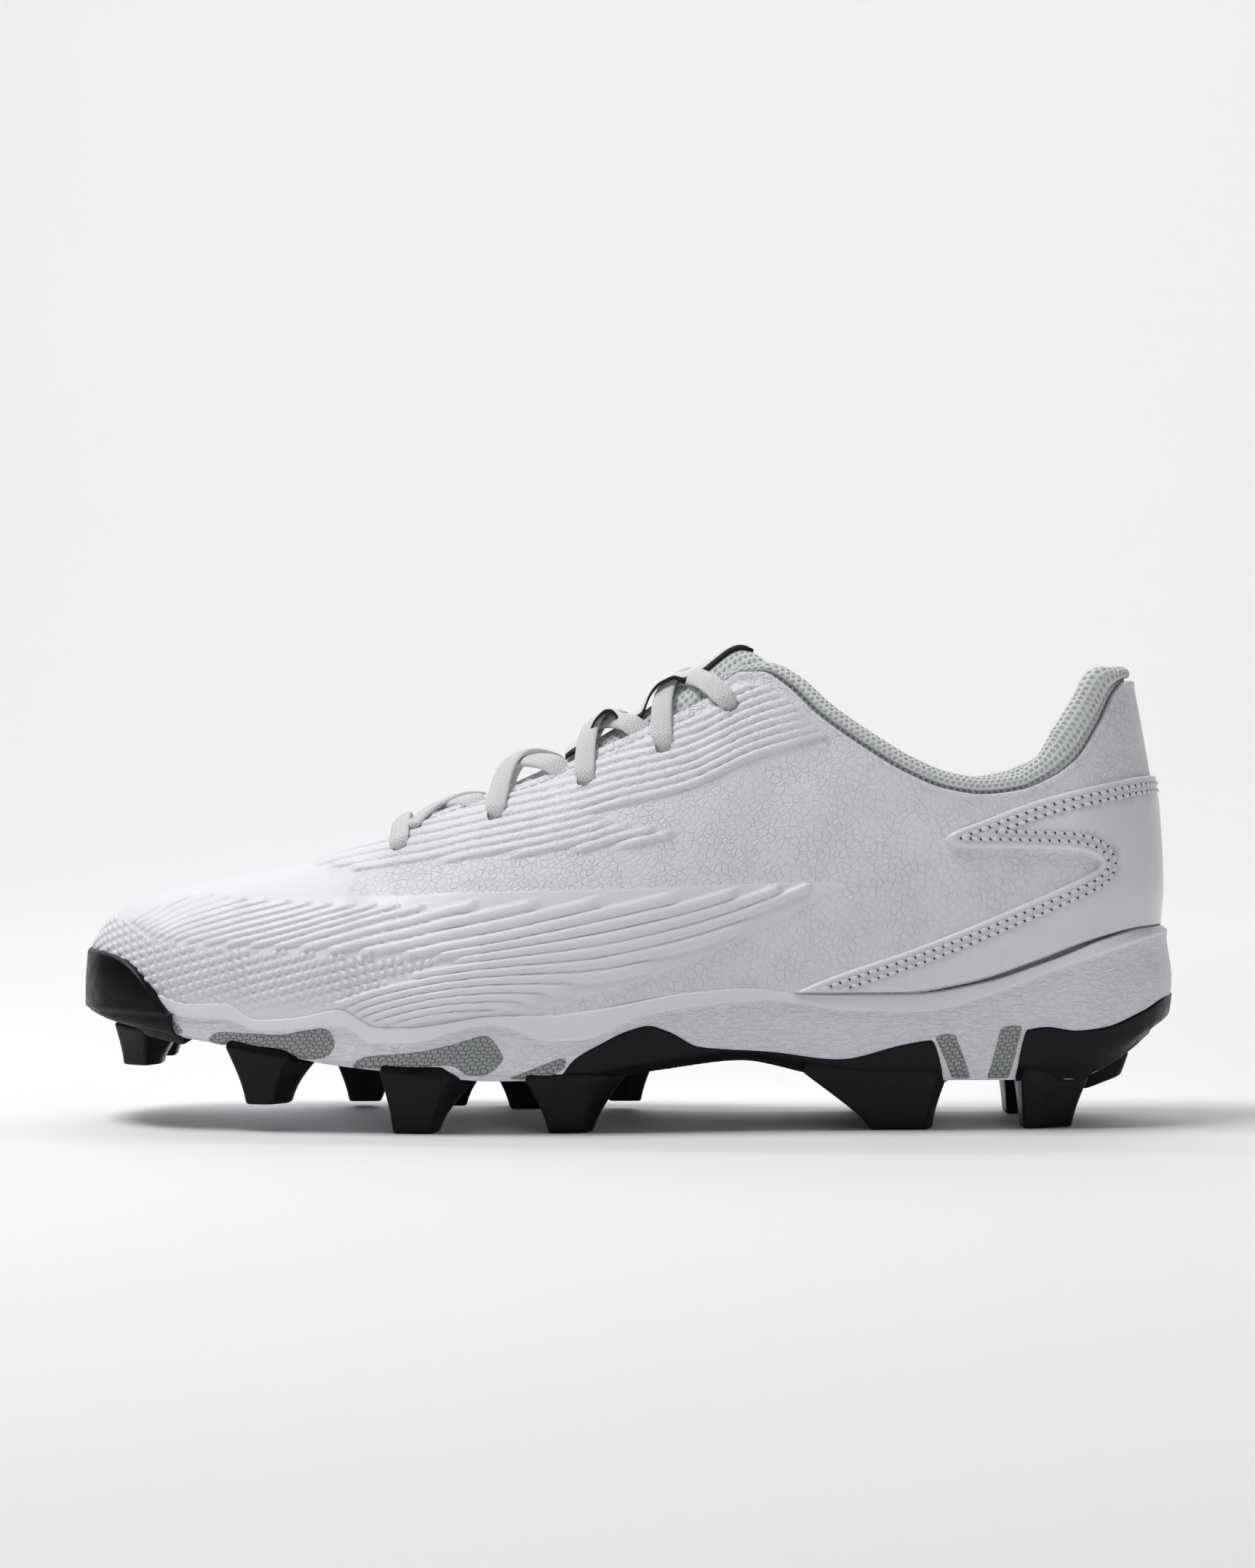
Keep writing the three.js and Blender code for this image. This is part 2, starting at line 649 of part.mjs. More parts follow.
// Stud with its foot on the floor side, grown by a margin, reaching up into the sole
function studSolid(row, margin) {
  const edgeY = (along) => planCentre(along) + row.side * planHalf(along);
  const places = [
    { front: row.front, crease: row.crease, back: row.back, slope: 0 },
    { front: row.tipFront, crease: row.tipCrease, back: row.tipBack, slope: studShape.slope },
  ];
  const rootZ = heightZ(read(soleRows, 'under', (row.front + row.back) / 2)) + skinDepth * 2;
  const tipZ = row.tip * studHeight;
  const corners = places.map((place) => {
    const outerY = edgeY(place.front) - row.side * (row.edge + place.slope) * ballWidth;
    const creaseY = edgeY(place.crease) - row.side * (row.edge + place.slope) * ballWidth;
    const reach = row.reach - place.slope * studShape.taper;
    const innerY = edgeY(place.front) - row.side * (row.edge + place.slope + reach) * ballWidth;
    return [
      [lengthX(place.front), outerY],
      [lengthX(place.crease), creaseY],
      [lengthX(place.back), THREE.MathUtils.lerp(creaseY, innerY, studShape.backCorner)],
      [lengthX(place.back), innerY],
      [lengthX(place.front), innerY],
    ];
  });
  const rings = [0, studShape.tipStart, 1].map((down) => {
    const shrink = down === 1 ? margin - studShape.tipChamfer : margin * (down === 0 ? 2.5 : 1);
    const mixed = corners[0].map(([x, y], k) => [
      THREE.MathUtils.lerp(x, corners[1][k][0], down),
      THREE.MathUtils.lerp(y, corners[1][k][1], down),
    ]);
    const z = THREE.MathUtils.lerp(rootZ, tipZ, down);
    return chamfered(grown(mixed, shrink), studShape.corner).map(([x, y]) => {
      const root = heightZ(read(soleRows, 'under', alongX(x))) + skinDepth + gap + margin;
      return new THREE.Vector3(x, y, down === 0 ? root : z);
    });
  });
  return skin(rings, true);
}

// Outline with each corner cut by two short steps
function chamfered(points, size) {
  return points.flatMap((point, k) => {
    const corner = new THREE.Vector2(...point);
    const before = new THREE.Vector2(...points[(k + points.length - 1) % points.length]);
    const after = new THREE.Vector2(...points[(k + 1) % points.length]);
    return [before, after].map((other) => {
      const away = other.sub(corner);
      return corner.clone().addScaledVector(away.normalize(), size).toArray();
    });
  });
}

// Everything below a line that runs from one place to another along the shoe
function below(lineZ, from, to, steps) {
  const line = [];
  for (let k = 0; k <= steps; k += 1) {
    const along = THREE.MathUtils.lerp(from, to, k / steps);
    line.push([lengthX(along), lineZ(along)]);
  }
  const [startX, startZ] = line[0];
  const endZ = line[steps][1];
  const front = from > 0 ? whole * 2 : startZ;
  return sidePrism([
    [whole * 2, endZ],
    [whole * 2, -whole],
    [-whole * 2, -whole],
    [-whole * 2, front],
    [startX, front],
    ...(from > 0 ? line : line.slice(1)),
  ], -whole, whole);
}

const soleSolid = soleForm(0).intersect(below((along) => biteZ(along) - gap, 0, 1, lineSteps));
const soleCore = soleForm(-skinDepth - gap);
const soleSkinCore = soleForm(-skinDepth);
const inlayCore = soleForm(-inlayDepth, true);
const inlayPocketCore = soleForm(-inlayDepth - gap, true);
const soleProud = soleForm(0.3);

// Hollow of the shoe, from the bed up
const bedZ = (along) => heightZ(read(soleRows, 'bed', along));
const hollow = upperForm(-upperWall, bedZ);

// Place on the arch where it reaches a height
function riseAt(turn, side, z) {
  let low = 0;
  let high = 1;
  for (let k = 0; k < 30; k += 1) {
    const middle = (low + high) / 2;
    if (archPoint(turn, side, middle).z < z) {
      low = middle;
    } else {
      high = middle;
    }
  }
  return (low + high) / 2;
}

// Turn whose station passes through an X at a height share of the wall
function turnAt(x, side, rise) {
  let low = 0;
  let high = 1;
  for (let k = 0; k < 30; k += 1) {
    const middle = (low + high) / 2;
    if (archPoint(middle, side, rise).x < x) {
      low = middle;
    } else {
      high = middle;
    }
  }
  return (low + high) / 2;
}

function eyeletPlace(row, side) {
  const z = heightZ(row.up);
  let turn = turnOf(row.along);
  let rise = riseAt(turn, side, z);
  for (let k = 0; k < 4; k += 1) {
    turn = turnAt(lengthX(row.along), side, rise);
    rise = riseAt(turn, side, z);
  }
  return { turn, rise };
}

function eyeletHoles() {
  return eyeletRows.flatMap((row) => [-1, 1].map((side) => {
    const { turn, rise } = eyeletPlace(row, side);
    const outside = shellPoint(turn, side, rise, 6);
    const inside = shellPoint(turn, side, rise, -8);
    const hole = new THREE.CylinderGeometry(eyeletSize / 2, eyeletSize / 2, 14, 8);
    const axis = outside.clone().sub(inside).normalize();
    const turned = new THREE.Quaternion().setFromUnitVectors(new THREE.Vector3(0, 1, 0), axis);
    hole.applyQuaternion(turned);
    const middle = outside.add(inside).multiplyScalar(0.5);
    hole.translate(middle.x, middle.y, middle.z);
    return solidOf(hole);
  }));
}

// Upper
let upper = upperForm(0)
  .intersect(below(edgeZ, edgeRows[0].along, 1, lineSteps))
  .subtract(below(biteZ, 0, 1, lineSteps))
  .subtract(hollow);
for (const hole of eyeletHoles()) {
  upper = upper.subtract(hole);
}

// Counter round the heel, cut between two larger forms of the upper
const counterLine = sideLine(counterRows, 28);
const counterPrism = sidePrism(
  [...counterLine, [lengthX(0.6), heightZ(0)], [lengthX(1.03), heightZ(0)]],
  -whole,
  whole,
);
const counter = upperForm(gap + overlayWall)
  .subtract(upperForm(gap))
  .subtract(below(biteZ, 0, 1, lineSteps))
  .intersect(counterPrism);

// Padded collar
function collarPoint(turn, side, row) {
  const offset = -(upperWall + gap + row.inward * collarPad);
  let point = archPoint(turn, side, 0.4);
  for (let k = 0; k < 6; k += 1) {
    const z = edgeZ(point.x / shoeLength + 0.5) + row.rise * collarPad;
    point = shellPoint(turn, side, riseAt(turn, side, z), offset);
  }
  return point;
}

function collarSolid() {
  const rings = [];
  const startTurn = turnOf(collarStart);
  const steps = 13;
  for (const side of [-1, 1]) {
    for (let k = 0; k <= steps; k += 1) {
      const share = side < 0 ? k / steps : 1 - k / steps;
      if (side < 0 || k > 0) {
        const turn = THREE.MathUtils.lerp(startTurn, 1, share);
        rings.push(collarRows.map((row) => collarPoint(turn, side, row)));
      }
    }
  }
  return skin(rings, true);
}

// Sheet between two offsets of the arch. across runs from -1 to 1 over the ridge.
function archSheet(startAlong, endAlong, halfAcross, outer, inner, steps, lanes) {
  const rings = [];
  for (let k = 0; k <= steps; k += 1) {
    const u = k / steps;
    const top = [];
    const bottom = [];
    for (let lane = 0; lane <= lanes; lane += 1) {
      const across = (lane / lanes) * 2 - 1;
      const along = THREE.MathUtils.lerp(startAlong, endAlong(across), u);
      const side = across < 0 ? -1 : 1;
      const rise = 1 - Math.abs(across) * halfAcross(along);
      const turn = turnOf(along);
      const deep = inner(u, across);
      top.push(shellPoint(turn, side, rise, outer(u, across)));
      bottom.push(shellPoint(turn, side, rise, deep));
    }
    rings.push([...top, ...bottom.reverse()]);
  }
  return skin(rings, true);
}

const tongueTop = -(upperWall + gap);
const tongueEnd = (across) => 0.64 + 0.028 * across * across;
const tongueHalf = (along) => {
  const widened = THREE.MathUtils.smoothstep(along, 0.27, 0.5);
  const drawnIn = THREE.MathUtils.smoothstep(along, 0.585, 0.645);
  return THREE.MathUtils.lerp(0.3, 0.5, widened) - 0.24 * drawnIn;
};
const tongueThick = (u, across) => {
  const sides = 1 - 0.55 * Math.abs(across) ** 5;
  const ends = Math.min(1, 0.35 + u * 3) * Math.min(1, 0.45 + (1 - u) * 9);
  return tonguePad * sides * ends;
};
const tongue = archSheet(
  0.262, tongueEnd, tongueHalf,
  (u) => tongueTop + 0.8 - 0.5 * tonguePad * (1 - Math.min(1, 0.2 + (1 - u) * 10)),
  (u, across) => tongueTop - tongueThick(u, across),
  10, 8,
).intersect(upperForm(tongueTop));

// Plain strip down the tongue, under the laces
const tongueStrip = archSheet(
  0.44, () => 0.632, () => 0.16,
  () => tongueTop + gap + labelThick,
  () => tongueTop - gap,
  4, 4,
).subtract(upperForm(tongueTop + gap));

// Laces, laid a little above the edge of the throat. A strand starts just below its
// eyelet and ends there too, or where it dives under the far edge.
const laceTail = 0.07;
const laceDive = 0.8;
const laceLift = 1.2;
function lacePoint(from, to, share, lift) {
  const blend = (a, b) => THREE.MathUtils.lerp(a, b, share);
  const across = blend((1 - from.rise) * from.side, (1 - to.rise) * to.side);
  const side = across < 0 ? -1 : 1;
  const rise = 1 - Math.abs(across);
  const turn = blend(from.turn, to.turn);
  return shellPoint(turn, side, rise, gap * 1.7 + laceThick / 2 + lift * Math.sin(Math.PI * share) ** 2);
}

function laceSolid(from, to, lift, bow, end) {
  const steps = 8;
  const rings = [];
  const shift = (share) => bow * Math.sin(Math.PI * share);
  const at = (share) => {
    const point = lacePoint(from, to, share, lift);
    point.x += shift(share);
    return point;
  };
  for (let k = 0; k <= steps; k += 1) {
    const share = THREE.MathUtils.lerp(-laceTail, end, k / steps);
    const middle = at(share);
    const ahead = at(share + 0.02).sub(at(share - 0.02)).normalize();
    const away = lacePoint(from, to, share, lift + 4).sub(lacePoint(from, to, share, lift - 4));
    const across = away.clone().cross(ahead).normalize();
    const normal = ahead.clone().cross(across).normalize();
    const ring = [];
    for (let corner = 0; corner < 6; corner += 1) {
      const angle = (corner / 6) * Math.PI * 2;
      const wide = (Math.cos(angle) * laceWidth) / 2;
      const thick = ((Math.sin(angle) * laceThick) / 2) * 1.15;
      ring.push(middle.clone().addScaledVector(across, wide).addScaledVector(normal, thick));
    }
    rings.push(ring);
  }
  return skin(rings, true);
}

const eyelet = (row, side) => ({ ...eyeletPlace(eyeletRows[row], side), side });
const crossing = (row, lift, end) => laceSolid(eyelet(row, -1), eyelet(row + 1, 1), lift, 0, end)
  .add(laceSolid(eyelet(row, 1), eyelet(row + 1, -1), lift, 0, end));

// Insole
const insole = upperForm(-upperWall - 0.5, (along) => bedZ(along) + gap)
  .intersect(below((along) => bedZ(along) + gap + insoleThick, 0, 1, 20));

// Sole, with its pockets, inlays, plates and studs
let carrier = soleSolid.subtract(hollow);

const blackForms = [];

function inlay(outline, side) {
  const [from, to] = side < 0 ? [-whole, -12] : [12, whole];
  const pocket = sidePrism(grown(outline, gap), from, to).subtract(inlayPocketCore);
  carrier = carrier.subtract(pocket);
  const piece = sidePrism(outline, from, to).subtract(inlayCore).intersect(soleProud);
  return blackForms.reduce((rest, form) => rest.subtract(form), piece);
}

function studPiece(row) {
  const form = studSolid(row, gap);
  blackForms.push(form);
  carrier = carrier.subtract(form.subtract(soleCore));
  return studSolid(row, 0).subtract(soleSkinCore);
}

const studByName = Object.fromEntries(studRows.map((row) => [row.name, row]));

function plate(line, closing, studNames, lug) {
  const outline = [...line, ...closing];
  const pocketPrism = sidePrism(grown(outline, gap), -whole, whole);
  blackForms.push(pocketPrism);
  carrier = carrier.subtract(pocketPrism.subtract(soleCore));
  let piece = sidePrism(outline, -whole, whole).subtract(soleSkinCore).intersect(soleSolid);
  for (const name of studNames) {
    piece = piece.add(studPiece(studByName[name]));
  }
  if (lug) {
    carrier = carrier.subtract(lugSolid(gap).subtract(soleCore));
    piece = piece.add(lugSolid(0).subtract(soleSkinCore));
  }
  return piece;
}

function lugSolid(margin) {
  const rootZ = heightZ(0.03) + skinDepth;
  const rings = [
    { front: rearLug.front, back: rearLug.back, half: rearLug.half * 1.3, z: rootZ },
    { front: rearLug.tipFront, back: rearLug.tipBack, half: rearLug.half, z: 0 },
  ].map((row, down) => {
    const half = row.half * ballWidth;
    const outline = [
      [lengthX(row.front), -half], [lengthX(row.back), -half * 0.8],
      [lengthX(row.back), half * 0.8], [lengthX(row.front), half],
    ];
    return chamfered(grown(outline, margin), studShape.corner).map(([x, y]) => {
      const slope = (x - lengthX(rearLug.tipFront)) * 0.35;
      return new THREE.Vector3(x, y, down ? rearLug.tip * studHeight + slope : rootZ + 4);
    });
  });
  return skin(rings, true);
}

const low = heightZ(-0.3);
const archPlate = plate(
  sideLine(archPlateRows, 18),
  [[lengthX(0.787), low], [lengthX(0.432), low]],
  ['outer_arch', 'inner_arch', 'outer_heel_front', 'inner_heel_front'],
  false,
);
const heelPlate = plate(
  sideLine(heelPlateRows, 14),
  [[lengthX(1.03), low], [lengthX(0.846), low]],
  ['outer_heel', 'inner_heel'],
  true,
);

// Bumper over the toe of upper and sole
const bumperOutline = [...sideLine(bumperRows, 16), [lengthX(-0.03), heightZ(-0.02)]];
let bumper = upperForm(gap + bumperWall)
  .add(soleForm(gap + bumperWall))
  .intersect(sidePrism(bumperOutline, -whole, whole));
for (const name of ['toe_outer', 'toe_inner']) {
  bumper = bumper.add(studSolid(studByName[name], 0));
}
bumper = bumper
  .subtract(upperForm(gap))
  .subtract(soleForm(gap));

const pods = {};
for (const name of ['outer_front', 'outer_ball', 'inner_front', 'inner_ball', 'centre']) {
  pods[`stud_${name}`] = studPiece(studByName[name]);
}
const inlays = {};
for (const [name, rows] of Object.entries(inlayTables)) {
  inlays[`inlay_outer_${name}`] = inlay(leafOutline(rows), -1);
}
for (const [name, row] of Object.entries(stripTables)) {
  inlays[`inlay_outer_${name}`] = inlay(stripOutline(row), -1);
  inlays[`inlay_inner_${name}`] = inlay(stripOutline(row), 1);
}
for (const name of ['front', 'ball']) {
  inlays[`inlay_inner_${name}`] = inlay(leafOutline(inlayTables[name]), 1);
}

const looks = {
  leather: { color: 0xf1f1f2, roughness: 0.5, metalness: 0 },
  film: { color: 0xf4f4f5, roughness: 0.38, metalness: 0 },
  mesh: { color: 0xc8d0cd, roughness: 0.9, metalness: 0 },
  cord: { color: 0xdededa, roughness: 0.85, metalness: 0 },
  white: { color: 0xe9e8ee, roughness: 0.55, metalness: 0 },
  grey: { color: 0x969998, roughness: 0.6, metalness: 0 },
  black: { color: 0x191b1d, roughness: 0.42, metalness: 0 },
};

const shoe = new THREE.Group();
shoe.name = 'baseball_cleat';

function addPart(name, solid, look) {
  const { vertProperties, triVerts } = solid.simplify(facetSlack).getMesh();
  const geometry = new THREE.BufferGeometry();
  geometry.setAttribute('position', new THREE.Float32BufferAttribute(vertProperties, 3));
  geometry.setIndex([...triVerts]);
  const mesh = new THREE.Mesh(geometry, new THREE.MeshStandardMaterial(looks[look]));
  mesh.name = name;
  shoe.add(mesh);
}

addPart('upper', upper, 'leather');
addPart('heel_counter', counter, 'film');
addPart('collar', collarSolid(), 'mesh');
addPart('tongue', tongue, 'mesh');
addPart('tongue_strip', tongueStrip, 'white');
addPart('lace_front', laceSolid(eyelet(0, -1), eyelet(0, 1), laceLift * 2, 2, 1 + laceTail), 'cord');
addPart('lace_low', crossing(1, laceLift, laceDive), 'cord');
addPart('lace_middle', crossing(2, laceLift, laceDive), 'cord');
addPart('lace_top', crossing(3, laceLift, 1 + laceTail), 'cord');
addPart('insole', insole, 'mesh');
addPart('sole', carrier, 'white');
addPart('toe_bumper', bumper, 'black');
addPart('arch_plate', archPlate, 'black');
addPart('heel_plate', heelPlate, 'black');
for (const [name, solid] of Object.entries(pods)) {
  addPart(name, solid, 'black');
}
for (const [name, solid] of Object.entries(inlays)) {
  addPart(name, solid, 'grey');
}

export default shoe;
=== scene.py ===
# Left baseball cleat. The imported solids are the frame; finished pieces stand in their place.
# Toe at -X, heel at +X, outer side at -Y. Shapes are worked out in millimetres and built in metres.
import math
import bpy
import numpy as np
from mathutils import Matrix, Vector
from mathutils.geometry import delaunay_2d_cdt


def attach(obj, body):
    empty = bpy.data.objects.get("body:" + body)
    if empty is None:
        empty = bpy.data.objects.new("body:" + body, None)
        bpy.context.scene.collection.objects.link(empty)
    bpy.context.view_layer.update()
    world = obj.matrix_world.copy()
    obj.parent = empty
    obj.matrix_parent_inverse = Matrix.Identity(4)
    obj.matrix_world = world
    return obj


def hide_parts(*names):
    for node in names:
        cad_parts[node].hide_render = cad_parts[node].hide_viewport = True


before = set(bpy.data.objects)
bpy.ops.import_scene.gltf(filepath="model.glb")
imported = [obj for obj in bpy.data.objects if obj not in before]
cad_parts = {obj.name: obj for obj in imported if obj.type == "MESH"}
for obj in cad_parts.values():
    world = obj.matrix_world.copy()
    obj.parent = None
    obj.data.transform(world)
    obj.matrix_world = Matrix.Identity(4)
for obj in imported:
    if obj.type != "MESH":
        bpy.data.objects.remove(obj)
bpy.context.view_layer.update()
mm = 0.001

shoe = {
    "length": 298.4, "ballWidth": 101.5, "studHeight": 13.0, "bodyHeight": 114.0,
    "gap": 0.3, "wall": 2.0, "ledge": 1.2, "bumperWall": 1.5, "overlayWall": 1.2,
    "insoleThick": 3.6, "collarPad": 6.0, "tonguePad": 4.6,
    "laceWidth": 6.0, "laceThick": 2.0, "eyeletSize": 4.6,
}


# Tables of shares, read on smooth curves

def table(columns, *rows):
    return dict(zip(columns.split(), np.array(rows, float).T))


plan = table(
    "along centre half",
    (0, 0.059, 0), (0.024, 0.05, 0.258), (0.095, 0.033, 0.388), (0.206, 0.019, 0.468),
    (0.345, 0, 0.5), (0.5, -0.032, 0.433), (0.655, -0.034, 0.369), (0.794, -0.02, 0.36),
    (0.905, -0.007, 0.337), (0.976, 0, 0.219), (1, 0, 0))
arch = table(
    "along up bulge side crown",
    (0, 0.298, 0.02, 0.6, 0.6), (0.006, 0.336, 0.02, 0.6, 0.6), (0.024, 0.386, 0.02, 0.6, 0.6),
    (0.055, 0.424, 0.02, 0.6, 0.6), (0.095, 0.448, 0.02, 0.58, 0.58), (0.206, 0.507, 0.02, 0.52, 0.54),
    (0.28, 0.57, 0.01, 0.48, 0.5), (0.32, 0.636, 0, 0.46, 0.48), (0.42, 0.746, -0.02, 0.43, 0.47),
    (0.545, 0.93, -0.05, 0.42, 0.5), (0.628, 1.082, -0.06, 0.43, 0.54), (0.72, 1.2, -0.06, 0.46, 0.6),
    (0.8, 1.254, -0.05, 0.5, 0.62), (1, 1.31, -0.03, 0.52, 0.7))
bite = table(
    "along up",
    (0, 0.225), (0.072, 0.208), (0.103, 0.186), (0.138, 0.19), (0.165, 0.152), (0.205, 0.158),
    (0.242, 0.179), (0.276, 0.138), (0.3, 0.137), (0.381, 0.163), (0.422, 0.165), (0.473, 0.179),
    (0.55, 0.214), (0.605, 0.223), (0.652, 0.21), (0.75, 0.211), (0.814, 0.236), (0.873, 0.284),
    (0.926, 0.333), (0.975, 0.359), (1, 0.361))
band = table(
    "along up",
    (0, 0.16), (0.14, 0.15), (0.17, 0.125), (0.245, 0.14), (0.27, 0.1), (0.3, 0.101), (0.371, 0.144),
    (0.384, 0.144), (0.43, 0.106), (0.46, 0.11), (0.511, 0.163), (0.56, 0.185), (0.627, 0.197),
    (0.685, 0.176), (0.756, 0.17), (0.814, 0.204), (0.879, 0.267), (0.94, 0.316), (1, 0.342))
bottom = table(
    "along under bed",
    (0, 0.15, 0.165), (0.03, 0.128, 0.152), (0.1, 0.096, 0.135), (0.165, 0.075, 0.105),
    (0.231, 0.043, 0.088), (0.3, 0.025, 0.072), (0.378, 0.008, 0.06), (0.45, 0.01, 0.066),
    (0.53, 0.034, 0.09), (0.6, 0.054, 0.112), (0.665, 0.02, 0.12), (0.72, 0.002, 0.122),
    (0.9, 0.002, 0.125), (0.95, 0.045, 0.128), (1, 0.1, 0.13))
edge = table(
    "along up",
    (0.286, 0.66), (0.292, 0.59), (0.318, 0.617), (0.367, 0.665), (0.42, 0.708), (0.452, 0.75),
    (0.518, 0.827), (0.577, 0.904), (0.59, 0.939), (0.603, 0.957), (0.62, 0.957), (0.643, 0.922),
    (0.668, 0.858), (0.72, 0.761), (0.746, 0.72), (0.785, 0.678), (0.817, 0.666), (0.85, 0.676),
    (0.876, 0.702), (0.902, 0.749), (0.928, 0.843), (0.943, 0.91), (0.956, 0.936), (1, 0.944))
heelBack = table(
    "along back",
    (0.2, 0.984), (0.36, 0.985), (0.45, 0.9875), (0.6, 0.985), (0.7, 0.981), (0.81, 0.974),
    (0.91, 0.967), (1.3, 0.94))
soleSide = table(  # along runs down the side, from the rim to the foot of the wall
    "along down heelInset inset",
    (0, 0, 0.031, 0.003), (0.3, 0.95, 0.012, 0), (0.36, 0.05, 0.014, 0.008),
    (0.6, 0.45, 0.001, 0.01), (0.84, 0.8, 0.01, 0.022), (1, 1, 0.06, 0.055))
eyelets = table("along up", (0.295, 0.543), (0.381, 0.618), (0.462, 0.698), (0.532, 0.78), (0.593, 0.877))


def turnOf(along):
    return np.arccos(np.clip(1 - 2 * np.asarray(along, float), -1, 1)) / math.pi


def alongOf(turn):
    return (1 - np.cos(math.pi * np.asarray(turn, float))) / 2


def lengthX(along):
    return (np.asarray(along, float) - 0.5) * shoe["length"]


def alongX(x):
    return np.asarray(x, float) / shoe["length"] + 0.5


def heightZ(up):
    return shoe["studHeight"] + np.asarray(up, float) * shoe["bodyHeight"]


def mix(a, b, share):
    return a + (b - a) * share


def smooth(low, high, value):
    t = np.clip((value - low) / (high - low), 0, 1)
    return t * t * (3 - 2 * t)


def read(rows, column, along, roundEnds=False):  # smooth through the rows, without overshoot
    place = turnOf if roundEnds else np.asarray
    at, ys = place(rows["along"]), rows[column]
    x = np.clip(place(along), at[0], at[-1])
    low = np.clip(np.searchsorted(at, x) - 1, 0, len(at) - 2)
    slope = np.diff(ys) / np.diff(at)
    before, after = slope[:-1], slope[1:]
    total = np.where(before * after > 0, before + after, 1)
    tangent = np.zeros(len(at))
    tangent[1:-1] = np.where(before * after > 0, 2 * before * after / total, 0)
    if roundEnds:
        tangent[0], tangent[-1] = slope[0], slope[-1]
    run = at[low + 1] - at[low]
    t = (x - at[low]) / run
    curve = (2 * t - 3) * t * t
    return (ys[low] * (1 + curve) - ys[low + 1] * curve
            + tangent[low] * run * t * (1 - t) ** 2 - tangent[low + 1] * run * t * t * (1 - t))


def line(*points):  # a smooth line through points, as a function
    rows = table("along value", *points)
    return lambda x: read(rows, "value", x)


def biteZ(along):
    return heightZ(read(bite, "up", along))


def edgeZ(along):
    return heightZ(read(edge, "up", along))


# The last's own surface

def archPoint(turn, side, rise):
    turn, side, rise = (np.array(a, float) for a in np.broadcast_arrays(turn, side, rise))
    side = np.where((turn < 0) | (turn > 1), -side, side)
    turn = np.where(turn < 0, -turn, np.where(turn > 1, 2 - turn, turn))
    side = np.where(rise > 1, -side, side)
    rise = np.where(rise > 1, 2 - rise, rise)
    along = alongOf(turn)
    half = read(plan, "half", along, True) * (shoe["ballWidth"] - 2 * shoe["ledge"])
    foot = biteZ(along)
    height = heightZ(read(arch, "up", along, True)) - foot
    swell = half * (1 + read(arch, "bulge", along))
    crown = half * read(arch, "crown", along)
    lift = height * read(arch, "side", along)
    t, s = rise, 1 - rise
    out = s ** 3 * half + 3 * s * s * t * swell + 3 * s * t * t * crown
    z = foot + 3 * s * s * t * lift + (3 * s * t * t + t ** 3) * height
    front = lengthX(0) + shoe["bumperWall"] + 2 * shoe["gap"]
    back = lengthX(read(heelBack, "back", (z - shoe["studHeight"]) / shoe["bodyHeight"]))
    x = front + (back - front) * along
    centre = read(plan, "centre", along, True) * shoe["ballWidth"]
    return np.stack([x, centre + side * out, z], -1)


def shell(turn, side, rise):  # point on the last and its outward normal
    step = 0.004
    point = archPoint(turn, side, rise)
    ahead = archPoint(np.asarray(turn) + step, side, rise) - archPoint(np.asarray(turn) - step, side, rise)
    low = np.maximum(np.asarray(rise) - step, 0)
    upward = archPoint(turn, side, np.asarray(rise) + step) - archPoint(turn, side, low)
    normal = np.cross(ahead, upward)
    normal /= np.maximum(np.linalg.norm(normal, axis=-1, keepdims=True), 1e-9)
    away = point * (0.2, 1, 1) - (0, 0, 30)
    facing = (normal * away).sum(-1, keepdims=True)
    return point, np.where(facing < 0, -normal, normal)


def shellPoint(turn, side, rise, offset):
    point, normal = shell(turn, side, rise)
    return point + normal * np.asarray(offset, float)[..., None]


def halve(shape, under, steps=22):  # where a test along 0 to 1 stops being true
    low, high = np.zeros(shape), np.ones(shape)
    for _ in range(steps):
        middle = (low + high) / 2
        keep = under(middle)
        low, high = np.where(keep, middle, low), np.where(keep, high, middle)
    return (low + high) / 2


def riseAt(turn, side, z):
    shape = np.broadcast(turn, side, z).shape
    return halve(shape, lambda rise: archPoint(turn, side, rise)[..., 2] < z)


def riseAtEdge(turn, side):
    def under(rise):
        point = archPoint(turn, side, rise)
        return point[..., 2] < edgeZ(alongX(point[..., 0]))
    return halve(np.broadcast(turn, side).shape, under)


def placeAt(x, side, z):  # turn and rise of the point that lies at X and Z on one side
    x, z = np.asarray(x, float), np.asarray(z, float)
    turn = turnOf(alongX(x))
    for _ in range(5):
        rise = riseAt(turn, side, z)
        turn = halve(x.shape, lambda t: archPoint(t, side, rise)[..., 0] < x)
    return turn, riseAt(turn, side, z)


# The sole's own surface: down runs from the rim (0) to the foot of the wall (1) and on
# over the underside to the middle of the shoe (2)

def planPoint(turn, side, inset):
    def place(value):
        inside = np.where(value < 0, -value, np.where(value > 1, 2 - value, value))
        facing = np.where((value < 0) | (value > 1), -side, side)
        along = alongOf(inside)
        toe = lengthX(0) + shoe["bumperWall"] + shoe["gap"]
        x = toe + (lengthX(1) - toe) * along
        y = read(plan, "centre", along, True) + facing * read(plan, "half", along, True)
        return np.stack([x, y * shoe["ballWidth"]], -1)
    turn = np.asarray(turn, float)
    ahead = place(turn + 0.004) - place(turn - 0.004)
    ahead /= np.maximum(np.linalg.norm(ahead, axis=-1, keepdims=True), 1e-9)
    point = place(turn)
    inset = np.asarray(inset, float)
    return np.stack([point[..., 0] + side * ahead[..., 1] * inset,
                     point[..., 1] - side * ahead[..., 0] * inset], -1)


